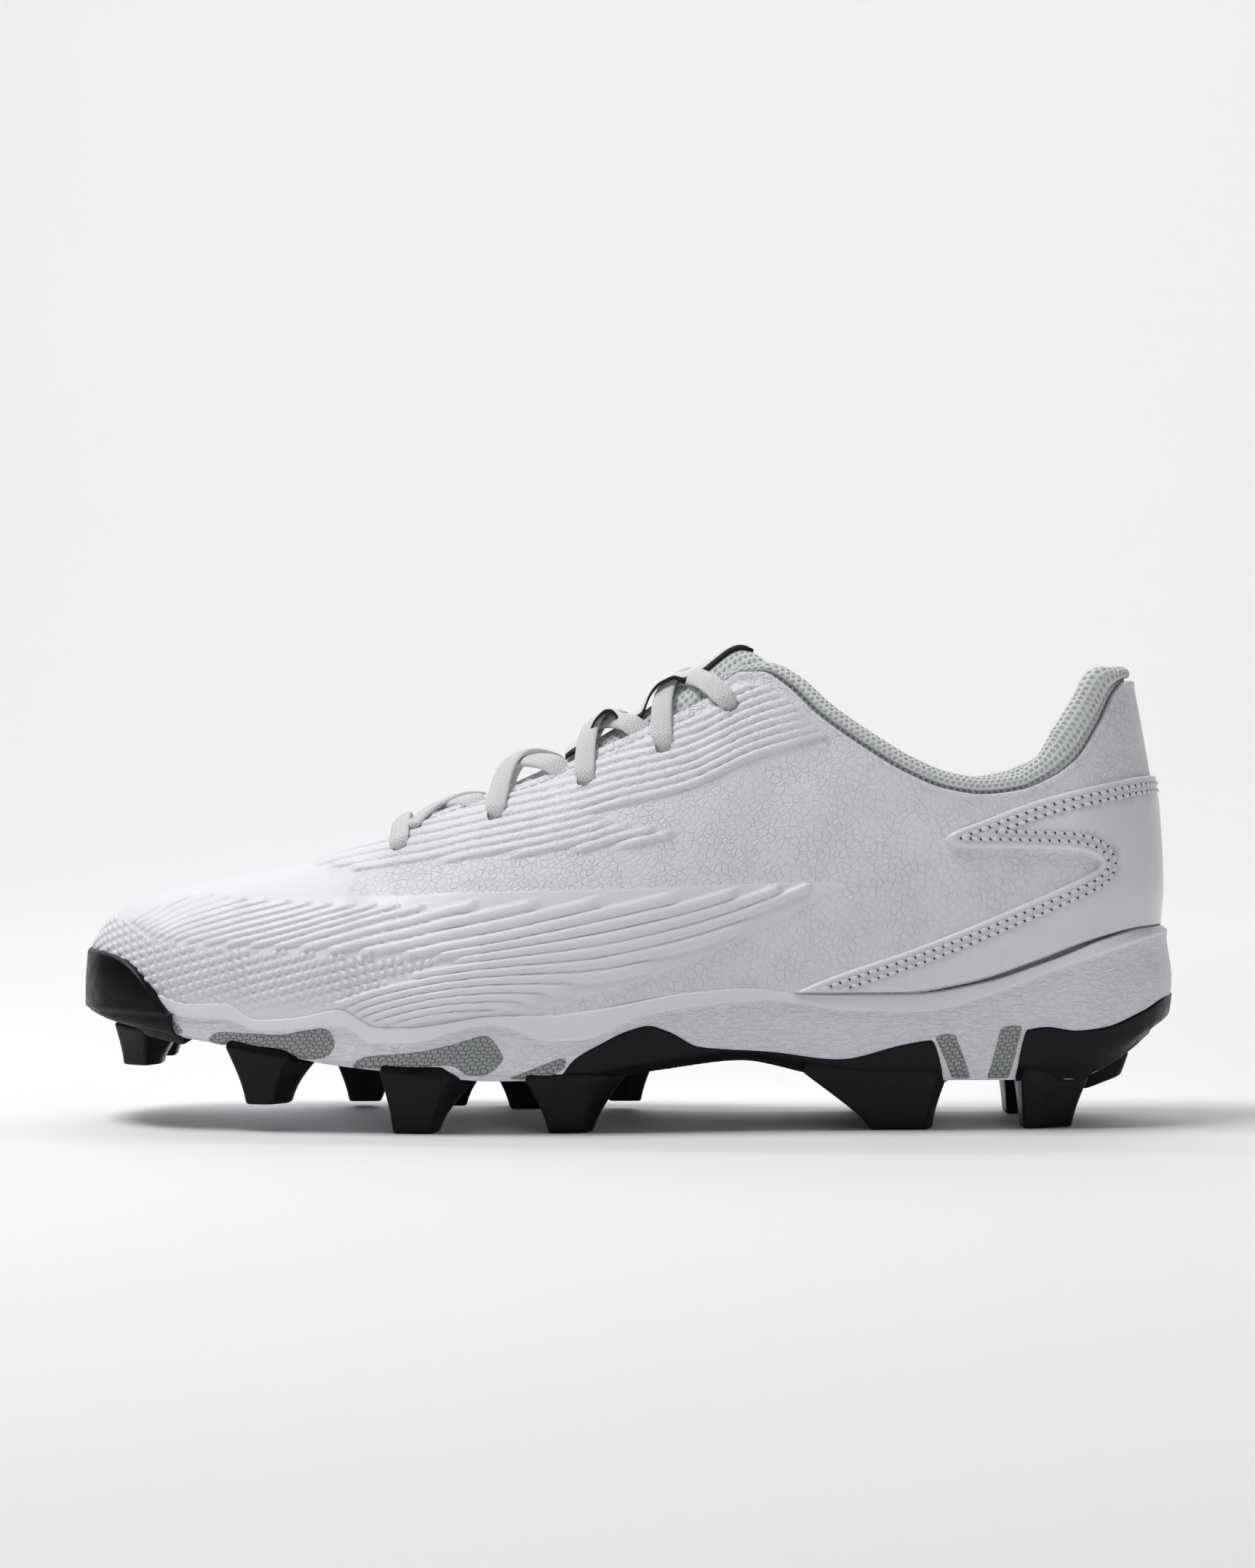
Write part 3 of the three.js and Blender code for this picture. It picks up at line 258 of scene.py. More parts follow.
def soleZ(turn, down):
    along = alongOf(turn)
    rim = biteZ(along) - shoe["gap"]
    step = heightZ(read(band, "up", along))
    under = heightZ(read(bottom, "under", along))
    places = soleSide["along"]
    heights = [rim, mix(rim, step, 0.95)] + [mix(step, under, d) for d in soleSide["down"][2:]]
    z = np.zeros(np.broadcast(turn, down).shape)
    for k in range(len(places) - 1):
        share = np.clip((down - places[k]) / (places[k + 1] - places[k]), 0, 1)
        z = np.where(down >= places[k], mix(heights[k], heights[k + 1], share), z)
    return z


def solePoint(turn, side, down, offset=0.0):  # offset grows the side outward and the underside down
    turn, side, down, offset = (np.array(a, float) for a in np.broadcast_arrays(turn, side, down, offset))
    along = alongOf(turn)
    heel = smooth(0.92, 0.995, along)
    place = np.clip(down, 0, 1)
    inset = mix(read(soleSide, "inset", place), read(soleSide, "heelInset", place), heel)
    corner = np.clip(0.06 - down, 0, 0.06) / 0.06
    lean = smooth(0.8, 1.02, down) * math.pi / 2
    point = planPoint(turn, side, inset * shoe["ballWidth"] + 0.8 * corner ** 3 - offset * np.cos(lean))
    across = np.clip(down - 1, 0, 1)
    centre = read(plan, "centre", along, True) * shoe["ballWidth"]
    y = mix(point[..., 1], centre, across)
    return np.stack([point[..., 0], y, soleZ(turn, place) - offset * np.sin(lean)], -1)


def downAt(turn, z):  # place down the side at a height
    shape = np.broadcast(turn, z).shape
    return halve(shape, lambda d: soleZ(turn, d) > z)


# Meshes

def build(name, points, faces, finish, node=None, uv=None, fields=None, flat=False):
    mesh = bpy.data.meshes.new(name)
    mesh.from_pydata((np.asarray(points) * mm).tolist(), [], [list(map(int, f)) for f in faces])
    mesh.validate()
    if uv is not None:
        layer = mesh.uv_layers.new(name="cloth")
        corner = np.zeros(len(mesh.loops), np.int64)
        mesh.loops.foreach_get("vertex_index", corner)
        layer.data.foreach_set("uv", np.asarray(uv, np.float32)[corner].ravel())
    for key, values in (fields or {}).items():
        mesh.attributes.new(key, "FLOAT", "POINT").data.foreach_set("value", np.asarray(values, np.float32))
    mesh.polygons.foreach_set("use_smooth", [not flat] * len(mesh.polygons))
    piece = bpy.data.objects.new(name, mesh)
    bpy.context.scene.collection.objects.link(piece)
    mesh.materials.append(finish)
    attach(piece, "root")
    for each in ([node] if isinstance(node, str) else node or []):
        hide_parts(each)
    return piece


def gridFaces(rows, columns, wrap=False, start=0):
    index = start + np.arange(rows * columns).reshape(rows, columns)
    if wrap:
        index = np.concatenate([index, index[:, :1]], 1)
    return np.stack([index[:-1, :-1], index[:-1, 1:], index[1:, 1:], index[1:, :-1]], -1).reshape(-1, 4)


class Parts:  # points and faces of several small shapes, to be one mesh
    def __init__(self):
        self.points, self.faces, self.uvs, self.count = [], [], [], 0

    def add(self, points, faces, uv=None):
        points = np.asarray(points, float).reshape(-1, 3)
        self.points.append(points)
        self.faces += [[int(k) + self.count for k in face] for face in faces]
        self.uvs.append(np.zeros((len(points), 2)) if uv is None else np.asarray(uv, float).reshape(-1, 2))
        self.count += len(points)

    def made(self, name, finish, node=None, **more):
        uv = np.concatenate(self.uvs)
        return build(name, np.concatenate(self.points), self.faces, finish, node, uv, **more)


# Finishes

class Wire:  # a socket that shader maths is written with
    def __init__(self, finish, socket):
        self.finish, self.socket = finish, socket

    def maths(self, operation, a, b=None):
        values = {0: a} if b is None else {0: a, 1: b}
        return self.finish.node("ShaderNodeMath", {"operation": operation}, values)

    def __add__(self, other): return self.maths("ADD", self, other)
    def __radd__(self, other): return self.maths("ADD", other, self)
    def __sub__(self, other): return self.maths("SUBTRACT", self, other)
    def __rsub__(self, other): return self.maths("SUBTRACT", other, self)
    def __mul__(self, other): return self.maths("MULTIPLY", self, other)
    def __rmul__(self, other): return self.maths("MULTIPLY", other, self)
    def __truediv__(self, other): return self.maths("DIVIDE", self, other)
    def __rtruediv__(self, other): return self.maths("DIVIDE", other, self)
    def __pow__(self, other): return self.maths("POWER", self, other)
    def __gt__(self, other): return self.maths("GREATER_THAN", self, other)
    def __lt__(self, other): return self.maths("LESS_THAN", self, other)
    def sine(self): return self.maths("SINE", self)
    def fraction(self): return self.maths("FRACT", self)
    def floor(self): return self.maths("FLOOR", self)
    def size(self): return self.maths("ABSOLUTE", self)
    def root(self): return self.maths("SQRT", self)
    def least(self, other): return self.maths("MINIMUM", self, other)
    def most(self, other): return self.maths("MAXIMUM", self, other)

    def ramp(self, low, high, start=0.0, end=1.0):  # eased from start to end between low and high
        return self.finish.node(
            "ShaderNodeMapRange", {"interpolation_type": "SMOOTHSTEP"},
            {0: self, 1: low, 2: high, 3: start, 4: end})


class Finish:
    def __init__(self, name, fixed):
        self.material = bpy.data.materials.new(name)
        self.material.use_nodes = True
        self.tree = self.material.node_tree
        self.shader = next(n for n in self.tree.nodes if n.type == "BSDF_PRINCIPLED")
        for socket, value in fixed.items():
            self.shader.inputs[socket].default_value = value

    def node(self, kind, settings=None, values=None, output=0):
        made = self.tree.nodes.new(kind)
        for key, value in (settings or {}).items():
            if key == "stops":
                for k, (at, colour) in enumerate(value):
                    stop = made.color_ramp.elements[k] if k < 2 else made.color_ramp.elements.new(at)
                    stop.position, stop.color = at, (*colour, 1)
            else:
                setattr(made, key, value)
        for socket, value in (values or {}).items():
            if isinstance(value, Wire):
                self.tree.links.new(value.socket, made.inputs[socket])
            else:
                made.inputs[socket].default_value = value
        return Wire(self, made.outputs[output])

    def feed(self, socket, wire):
        self.tree.links.new(wire.socket, self.shader.inputs[socket])

    def place(self, scale=(1, 1, 1), turned=(0, 0, 0)):  # the shoe's own frame, in metres
        where = self.node("ShaderNodeTexCoord", output="Object")
        return self.node("ShaderNodeMapping", {}, {0: where, "Scale": scale, "Rotation": turned})

    def cloth(self):  # lengths along and across a cloth, in millimetres
        where = self.node("ShaderNodeUVMap", {"uv_map": "cloth"})
        u = self.node("ShaderNodeSeparateXYZ", {}, {0: where}, 0)
        return u, Wire(self, u.socket.node.outputs[1])

    def field(self, name):
        return self.node("ShaderNodeAttribute", {"attribute_name": name}, output="Fac")

    def noise(self, scale, detail=2.0, rough=0.5, stretch=(1, 1, 1), warp=0.0):
        values = {"Vector": self.place(stretch), "Scale": scale, "Detail": detail,
                  "Roughness": rough, "Distortion": warp}
        return self.node("ShaderNodeTexNoise", {}, values)

    def cells(self, scale, feature="F1", stretch=(1, 1, 1), bend=0.0):
        where = self.place(stretch)
        if bend:
            wander = self.node("ShaderNodeTexNoise", {}, {"Vector": where, "Scale": scale * 0.7, "Detail": 2.0}, 1)
            where = self.node("ShaderNodeVectorMath", {"operation": "MULTIPLY_ADD"},
                              {0: wander, 1: (bend, bend, bend), 2: where})
        return self.node("ShaderNodeTexVoronoi", {"feature": feature}, {"Vector": where, "Scale": scale})

    def blend(self, share, a, b):
        return self.node("ShaderNodeMix", {"data_type": "RGBA"}, {0: share, 6: a, 7: b}, 2)

    def bump(self, height, metres):  # height of 1 stands for that many metres
        normal = self.node("ShaderNodeBump", {}, {"Height": height, "Strength": 1.0, "Distance": metres})
        self.feed("Normal", normal)


def colour(red, green, blue):  # from the 0 to 255 of a picture to the shader's scale
    def even(value):
        share = value / 255
        return share / 12.92 if share <= 0.04045 else ((share + 0.055) / 1.055) ** 2.4
    return (even(red), even(green), even(blue), 1)


def leatherFinish():
    f = Finish("white_leather", {"Specular IOR Level": 0.42})
    grain = f.field("grain")
    pebble = f.cells(480, "DISTANCE_TO_EDGE", (1, 1, 1), 0.0008).ramp(0, 0.13)
    fine = f.cells(1000, "DISTANCE_TO_EDGE", (1, 1, 1), 0.0007).ramp(0, 0.22)
    uneven = f.noise(150, 3).ramp(0.3, 0.7, 0.45, 1)
    # the grain's cracks are sunk in the bump and darkened in colour: painted shade in them
    shadedCracks = ((1 - pebble) + (1 - fine) * 0.4) * grain * uneven
    tint = f.noise(14, 2).ramp(0.3, 0.75, 0, 0.5)
    plain = f.blend(tint, colour(236, 236, 240), colour(230, 230, 237))
    shaded = f.blend(shadedCracks * 0.22, plain, colour(204, 204, 216))
    # painted shade: the leather's colour darkens in the relief's valleys
    f.feed("Base Color", f.blend(f.field("valleyShade") * 0.6, shaded, colour(182, 182, 194)))
    f.feed("Roughness", f.noise(900, 2).ramp(0.3, 0.7, 0.34, 0.42) + grain * 0.1)
    height = f.noise(2400, 2) * 0.1 + f.noise(260, 2) * 0.2 - shadedCracks
    f.bump(height, 0.00016)
    return f.material


def filmFinish():
    f = Finish("counter_film", {"Specular IOR Level": 0.5, "Coat Weight": 0.15, "Coat Roughness": 0.3})
    tint = f.noise(22, 2).ramp(0.3, 0.7)
    plain = f.blend(tint, colour(236, 236, 240), colour(229, 229, 236))
    # painted shade: darker colour along the sunk groove of each stitch row
    f.feed("Base Color", f.blend(f.field("shadedSeamGroove") * 0.55, plain, colour(150, 148, 160)))
    f.feed("Roughness", f.noise(60, 3).ramp(0.3, 0.7, 0.27, 0.36))
    f.bump(f.noise(180, 3) * 0.6 + f.noise(2600, 1) * 0.15, 0.00012)
    return f.material


def meshFinish(name, light, dark, pitch):  # open knit: staggered holes between plump stitches
    f = Finish(name, {"Sheen Weight": 0.25, "Specular IOR Level": 0.25})
    u, v = f.cloth()
    row = v / (pitch * 0.86)
    shifted = u / pitch + (row.floor() * 0.5).fraction()
    x = shifted.fraction() - 0.5
    y = row.fraction() - 0.5
    away = (x * x * 1.5 + y * y).root()
    wobble = f.noise(1600, 2) * 0.14
    hole = (away + wobble).ramp(0.2, 0.36, 1, 0)
    fibre = f.noise(5200, 2)
    thread = f.blend(fibre.ramp(0.3, 0.7), light, mixColour(light, dark, 0.22))
    f.feed("Base Color", f.blend(hole * 0.6, thread, dark))
    f.feed("Roughness", fibre.ramp(0, 1, 0.8, 0.95))
    f.bump(away.ramp(0.12, 0.5) + fibre * 0.3, 0.0006)
    return f.material


def mixColour(a, b, share):
    return tuple(a[k] + (b[k] - a[k]) * share for k in range(4))


def clothFinish(name, light, dark, pitch, depth=0.0002):  # fine plain weave
    f = Finish(name, {"Sheen Weight": 0.3, "Specular IOR Level": 0.2})
    u, v = f.cloth()
    over = (u * (2 * math.pi / pitch)).sine() * (v * (2 * math.pi / pitch)).sine()
    fibre = f.noise(4200, 2)
    weave = over * 0.5 + 0.5
    f.feed("Base Color", f.blend(weave * 0.5 + fibre * 0.3, dark, light))
    f.feed("Roughness", fibre.ramp(0, 1, 0.75, 0.95))
    f.bump(weave + fibre * 0.4, depth)
    return f.material


def laceFinish():  # herringbone of a flat woven cord, with a closed selvedge
    f = Finish("lace_weave", {"Sheen Weight": 0.3, "Specular IOR Level": 0.3})
    u, v = f.cloth()
    lean = ((v / 1.5).fraction() - 0.5).size()
    strand = ((u + lean * 1.9) / 0.95).fraction() - 0.5
    ridge = (1 - strand.size() * 2).ramp(0.05, 0.75)
    shadedSeamGroove = (((v + 0.75) / 1.5).fraction() - 0.5).size().ramp(0.34, 0.5)
    fibre = f.noise(4200, 3)
    shade = ridge * (1 - shadedSeamGroove * 0.5)
    f.feed("Base Color", f.blend(shade * 0.7 + fibre * 0.3, colour(219, 220, 219), colour(254, 254, 254)))
    f.feed("Roughness", fibre.ramp(0, 1, 0.7, 0.9))
    f.bump(shade + fibre * 0.3, 0.0002)
    return f.material


def soleFinish():  # smooth rim, and a wall wrinkled like soft hide
    f = Finish("sole_white", {"Specular IOR Level": 0.4})
    grain = f.field("grain")
    wave = f.noise(620, 3, 0.5, (0.55, 1, 1.5), 0.6)
    vein = (wave - 0.5).size().ramp(0, 0.07, 1, 0)
    small = f.noise(1500, 2, 0.5, (0.6, 1, 1.2))
    tint = f.noise(18, 2).ramp(0.3, 0.7)
    base = f.blend(tint, colour(240, 239, 245), colour(233, 232, 240))
    f.feed("Base Color", f.blend(vein * grain * 0.1, base, colour(200, 199, 212)))
    f.feed("Roughness", grain * 0.08 + f.noise(700, 2).ramp(0.3, 0.7, 0.38, 0.46))
    f.bump((wave * 1.6 - vein * 0.35 + small * 0.3) * grain + f.noise(2200, 1) * 0.05, 0.00026)
    return f.material


def blackFinish():
    f = Finish("sole_black", {"Specular IOR Level": 0.23})
    scuff = f.noise(90, 4, 0.6, (1, 1, 0.5)).ramp(0.5, 0.85)
    f.feed("Base Color", f.blend(scuff * 0.4, colour(3, 3, 5), colour(16, 18, 21)))
    f.feed("Roughness", f.noise(320, 3).ramp(0.3, 0.7, 0.33, 0.48))
    f.bump(f.noise(1700, 2) * 0.5 + f.noise(120, 2) * 0.6, 0.00012)
    return f.material


def greyFinish():  # rows of small scales that run along the inlay
    f = Finish("inlay_grey", {"Specular IOR Level": 0.4})
    u, v = f.cloth()
    wander = f.noise(240, 2) * 1.5
    row = (v + wander + (u * 2.2).sine() * 0.16) / 1.05
    scale = row.fraction()
    split = ((u + row.floor() * 0.7 + wander) / 1.9).fraction()
    edgeOn = scale.ramp(0.0, 0.28) * (split - 0.5).size().ramp(0.5, 0.4)
    f.feed("Base Color", f.blend(edgeOn, colour(126, 129, 129), colour(161, 164, 163)))
    f.feed("Roughness", edgeOn.ramp(0, 1, 0.62, 0.5))
    f.bump(edgeOn + f.noise(1800, 2) * 0.25, 0.0004)
    return f.material


def threadFinish():
    f = Finish("stitch_thread", {"Sheen Weight": 0.2})
    twist = f.noise(3000, 2)
    f.feed("Base Color", f.blend(twist, colour(222, 220, 228), colour(240, 240, 243)))
    f.feed("Roughness", twist.ramp(0, 1, 0.55, 0.75))
    f.bump(twist, 0.00015)
    return f.material


def darkFinish():  # painted shade of a pricked hole, given to a small dark bead
    f = Finish("needle_hole_shade", {"Base Color": colour(70, 68, 78), "Specular IOR Level": 0.1})
    f.feed("Roughness", f.noise(900, 2).ramp(0.3, 0.7, 0.8, 0.95))
    return f.material


def stripFinish(name, half):  # white webbing between black bound edges
    f = Finish(name, {"Specular IOR Level": 0.3})
    u, v = f.cloth()
    bound = v.size().ramp(half - 1.5, half - 1.2)
    weave = (u * 7.5).sine() * (v * 7.5).sine()
    f.feed("Base Color", f.blend(bound, colour(232, 232, 234), colour(24, 25, 27)))
    f.feed("Roughness", f.noise(2600, 2).ramp(0, 1, 0.5, 0.7))
    f.bump(weave * 0.5 + bound, 0.00012)
    return f.material


print("finishes")
white = leatherFinish()
film = filmFinish()
collarMesh = meshFinish("collar_mesh", colour(246, 249, 247), colour(150, 158, 157), 1.75)
tongueMesh = meshFinish("tongue_mesh", colour(242, 246, 244), colour(148, 156, 156), 1.6)
liningCloth = clothFinish("lining_cloth", colour(205, 210, 209), colour(172, 178, 178), 1.1)
insoleCloth = clothFinish("insole_cloth", colour(196, 201, 200), colour(160, 166, 166), 1.4)
laceWeave = laceFinish()
needleHoleShade = darkFinish()
soleWhite = soleFinish()
soleBlack = blackFinish()
inlayGrey = greyFinish()
thread = threadFinish()


# Upper: ribs, dots and soft creases stand on the last in real relief

relief = {
    "rib": 0.95, "stayRib": 0.9, "dot": 0.74, "dotPitch": 2.52, "dotRadius": 0.92, "dotLean": 0.25,
    "columns": 480, "rows": 200, "film": 0.15,
}

# Guides of the side ribs as seen from the side: X and Z in millimetres
ribGuides = {
    -8: line((-150, 12), (-92.5, 27.2), (-82.5, 30.2), (-69.1, 34.6), (-49.7, 38.6), (-34.3, 40.4),
             (-10.9, 42.2), (8.5, 46), (27.9, 51.6), (54.9, 63.6), (80, 76)),
    -4: line((-150, 22), (-112.5, 34.4), (-92.5, 38.6), (-72.5, 42.6), (-52.5, 46.4), (-32.5, 50.2),
             (-12.5, 54.8), (7.5, 59.4), (16.5, 61.6), (27.5, 64.8), (55.5, 73.6), (80, 82)),
    0: line((-150, 28), (-132.5, 37.2), (-121.9, 41.2), (-112.5, 43.2), (-98.9, 46.4), (-91.3, 48.4),
            (-75.9, 53), (-55.3, 58.6), (-32.5, 64.2), (-12.5, 69.2), (80, 94)),
    9: line((-150, 42), (-133, 51.4), (-122, 57.2), (-114.3, 59.8), (-107.3, 61.8), (-92.5, 65.4),
            (-72.5, 70.4), (80, 108)),
}
ribTips = line((-150, 46), (-144.5, 49.6), (-136.5, 55.2), (-126.5, 60), (-116.5, 62.4), (-107.5, 61.2),
               (-95.1, 60), (-82.1, 59), (-65.3, 58.6), (-12.5, 59.6), (15.5, 61.2), (27.5, 62.2), (55.5, 64.4))
dotTop = line((-150, 60), (-138.7, 55.6), (-134, 52.5), (-128.5, 49.6), (-120.5, 48.4), (-112.5, 47.6),
              (-92.5, 46.6), (-72.5, 45.2), (-42.3, 44.2))
dotBack = line((-100, 26), (-87.5, 30.4), (-75.9, 33.4), (-64.5, 37.2), (-53.1, 41), (-42.3, 44.2))
ribLow = line((-150, 20), (-80, 20), (-50, 23.5), (-33, 29.3), (-17.6, 34.6), (0, 39.6), (12.6, 44), (40, 56.4),
              (62, 66.5))
stayGuide = line((-100, 65), (-84.5, 68.8), (-57.9, 74.2), (-32.5, 79.4), (-12.9, 83.8), (-4.5, 86.4),
                 (16.5, 91.8), (34.9, 100.2), (47.5, 104), (57.7, 106.8), (70, 110))
stayPitch = line((-90, 1.6), (-57, 2.3), (-12, 2.4), (60, 2.4))
stayLow = line((-95, 70), (-84.5, 69.6), (-71.7, 68), (-61.5, 69.2), (-50.5, 70.6), (-38.5, 71.4),
               (-25.7, 72.6), (-11.9, 73.6), (0.9, 75), (13.7, 77.6))
stayTips = line((-20, 90), (-11.9, 85), (-5.9, 81.8), (0, 80.8), (6, 80.2), (11, 79.4), (14.3, 78.2), (20, 74))
filmTop = line((-150, 40), (-100, 60), (-67.2, 61.7), (8.4, 63.6), (52, 65.1), (59.5, 64.6), (62, 61))

# Soft folds: where each crosses, how long and how wide it is, and how deep (a ridge is negative)
creases = [
    {"x": -58, "z": 66, "lean": 1.25, "long": 26, "wide": 5.5, "deep": 0.4},
    {"x": -74, "z": 60, "lean": 1.05, "long": 20, "wide": 4.5, "deep": 0.3},
    {"x": -48, "z": 62, "lean": 1.3, "long": 22, "wide": 4, "deep": -0.25},
    {"x": 38, "z": 84, "lean": 1.1, "long": 22, "wide": 8, "deep": 0.5},
    {"x": 58, "z": 74, "lean": 0.9, "long": 26, "wide": 9, "deep": 0.45},
    {"x": 96, "z": 82, "lean": -0.35, "long": 24, "wide": 6, "deep": 0.4},
    {"x": 70, "z": 50, "lean": 0.3, "long": 40, "wide": 8, "deep": 0.35},
    {"x": -110, "z": 66, "lean": 0.1, "long": 24, "wide": 5, "deep": 0.25},
]


def seen(points):  # X and Z as they show from the side
    near = 1 - np.abs(points[..., 1]) / 1000
    return points[..., 0] / near, 92 + (points[..., 2] - 92) / near


def ribFamily(u, v):  # number of the nearest side rib, how far off it is, and where its own line lies
    numbers = sorted(ribGuides)
    lines = [ribGuides[n](u) for n in numbers]
    place = np.full(u.shape, float(numbers[0])) + (v - lines[0]) / (lines[1] - lines[0]) * 4
    for k in range(1, len(numbers) - 1):
        span = numbers[k + 1] - numbers[k]
        further = numbers[k] + (v - lines[k]) / (lines[k + 1] - lines[k]) * span
        place = np.where(v > lines[k], further, place)
    whole = np.round(place)
    own = np.zeros(u.shape)
    for k in range(len(numbers) - 1):
        span = numbers[k + 1] - numbers[k]
        share = (whole - numbers[k]) / span
        inside = whole >= numbers[k] if k else np.full(u.shape, True)
        own = np.where(inside, mix(lines[k], lines[k + 1], share), own)
    return whole, place - whole, own


def ridge(off):  # round top and narrow valley, from the share of a pitch off the middle
    return np.sqrt(np.clip(1 - (2 * np.abs(off)) ** 2.2, 0, 1))


def upperRelief(points, arc, pace, toEdge):  # height of the relief, how much leather grain shows, and how much painted shade the relief's valleys get
    u, v = seen(points)
    number, off, own = ribFamily(u, v)
    shownRib = smooth(-0.1, 0.7, ribTips(u) - own)
    behind = np.where(u < -42.3, np.maximum(smooth(-0.2, 0.5, own - dotTop(u)),
                                            smooth(-0.2, 0.5, dotBack(u) - own) * (u > -84)), 1)
    shownRib = shownRib * behind * smooth(-0.2, 1.0, own - ribLow(u)) * smooth(62, 50, u) * smooth(-146, -138, u)
    ribs = ridge(off) * shownRib * relief["rib"] * mix(0.6, 1, smooth(-125, -100, u))

    pitch, lean = relief["dotPitch"], relief["dotLean"]  # square pattern of dots, its rows rising to the heel
    onRow, offRow = arc * math.cos(lean) + (v - 30) * math.sin(lean), (v - 30) * math.cos(lean) - arc * math.sin(lean)
    rowOff, columnOff = offRow - np.round(offRow / pitch) * pitch, onRow - np.round(onRow / pitch) * pitch
    dotU = u - (columnOff * math.cos(lean) - rowOff * math.sin(lean)) * pace
    dotV = v - (columnOff * math.sin(lean) + rowOff * math.cos(lean))
    away = np.hypot(columnOff, rowOff) / relief["dotRadius"]
    inField = smooth(0.2, 1.4, dotTop(dotU) - dotV) * np.where(dotU > -95, smooth(0.4, 1.2, dotV - dotBack(dotU)), 1)
    inField = inField * (dotU < -43) * smooth(27, 37, dotV - 0.03 * (dotU + 100))
    dots = np.sqrt(np.clip(1 - away ** 2, 0, 1)) * inField * relief["dot"]

    step = stayPitch(u)
    stay = (v - stayGuide(u)) / step
    stayNumber = np.round(stay)
    stayOwn = stayGuide(u) + stayNumber * step
    shownStay = smooth(0, 0.9, stayOwn - stayLow(u)) * smooth(-90, -80, u)
    shownStay = shownStay * np.where(stayNumber < -0.5, smooth(0, 0.9, stayTips(u) - stayOwn) * (u < 16), 1)
    shownStay = shownStay * smooth(3.4, 4.4, toEdge) * (u < 66)
    stays = ridge(stay - stayNumber) * shownStay * relief["stayRib"]

    folds = np.zeros(u.shape)
    for fold in creases:
        c, s = math.cos(fold["lean"]), math.sin(fold["lean"])
        alongFold = (u - fold["x"]) * c + (v - fold["z"]) * s
        acrossFold = -(u - fold["x"]) * s + (v - fold["z"]) * c + 0.01 * alongFold ** 2
        shape = np.exp(-(acrossFold / fold["wide"]) ** 2 - (alongFold / fold["long"]) ** 2)
        folds -= shape * fold["deep"]
    filmed = smooth(0, 0.6, filmTop(u) - v) * smooth(-3.6, -2.4, v - ribLow(u)) * (u < 62)
    grain = smooth(-98, -60, u) * (1 - 0.92 * filmed) * (1 - 0.55 * shownStay)
    stitchLine = -0.25 * np.exp(-((toEdge - 2.4) / 0.5) ** 2) * (u < 36) * (u > -92)
    piped = 0.25 * smooth(1.6, 0.9, toEdge) * (u > 30)
    height = ribs + dots + stays + folds + filmed * relief["film"] + stitchLine + piped
    # painted shade: the colour darkens in the valleys between ribs and stay ribs, and in a ring round each dot
    valleyShade = np.maximum((1 - ridge(off)) ** 1.5 * shownRib, (1 - ridge(stay - stayNumber)) ** 1.5 * shownStay)
    valleyShade = np.maximum(valleyShade, 0.55 * smooth(0.7, 1.05, away) * inField)
    return height, np.clip(grain, 0, 1), np.clip(valleyShade, 0, 1)


def spreadTurns(count):  # stations, closer over the dots and round the front of the throat
    fine = np.linspace(0, 1, 4001)
    weight = 1 + 1.3 * smooth(0.02, 0.06, fine) * smooth(0.45, 0.4, fine)
    weight += 3 * np.exp(-((fine - turnOf(0.3)) / 0.012) ** 2)
    weight += 1.4 * np.exp(-((fine - turnOf(0.655)) / 0.04) ** 2)
    grown = np.concatenate([[0], np.cumsum((weight[1:] + weight[:-1]) / 2)])
    return np.interp(np.linspace(0, grown[-1], count), grown, fine)


def evenRises(turn, side, top, rows):  # rows evenly spaced up each station
    share = np.linspace(0, 1, 40)
    path = archPoint(turn[:, None], side, top[:, None] * share)
    length = np.concatenate([np.zeros((len(turn), 1)),
                             np.cumsum(np.linalg.norm(np.diff(path, axis=1), axis=-1), 1)], 1)
    even = np.linspace(0, 1, rows)
    places = np.stack([np.interp(even * run[-1], run, share) for run in length])
    return top[:, None] * places, length[:, -1]


def eyeletAt(row, side):
    turn, rise = placeAt(lengthX(eyelets["along"][row]), side, heightZ(eyelets["up"][row]))
    return float(turn), float(rise)


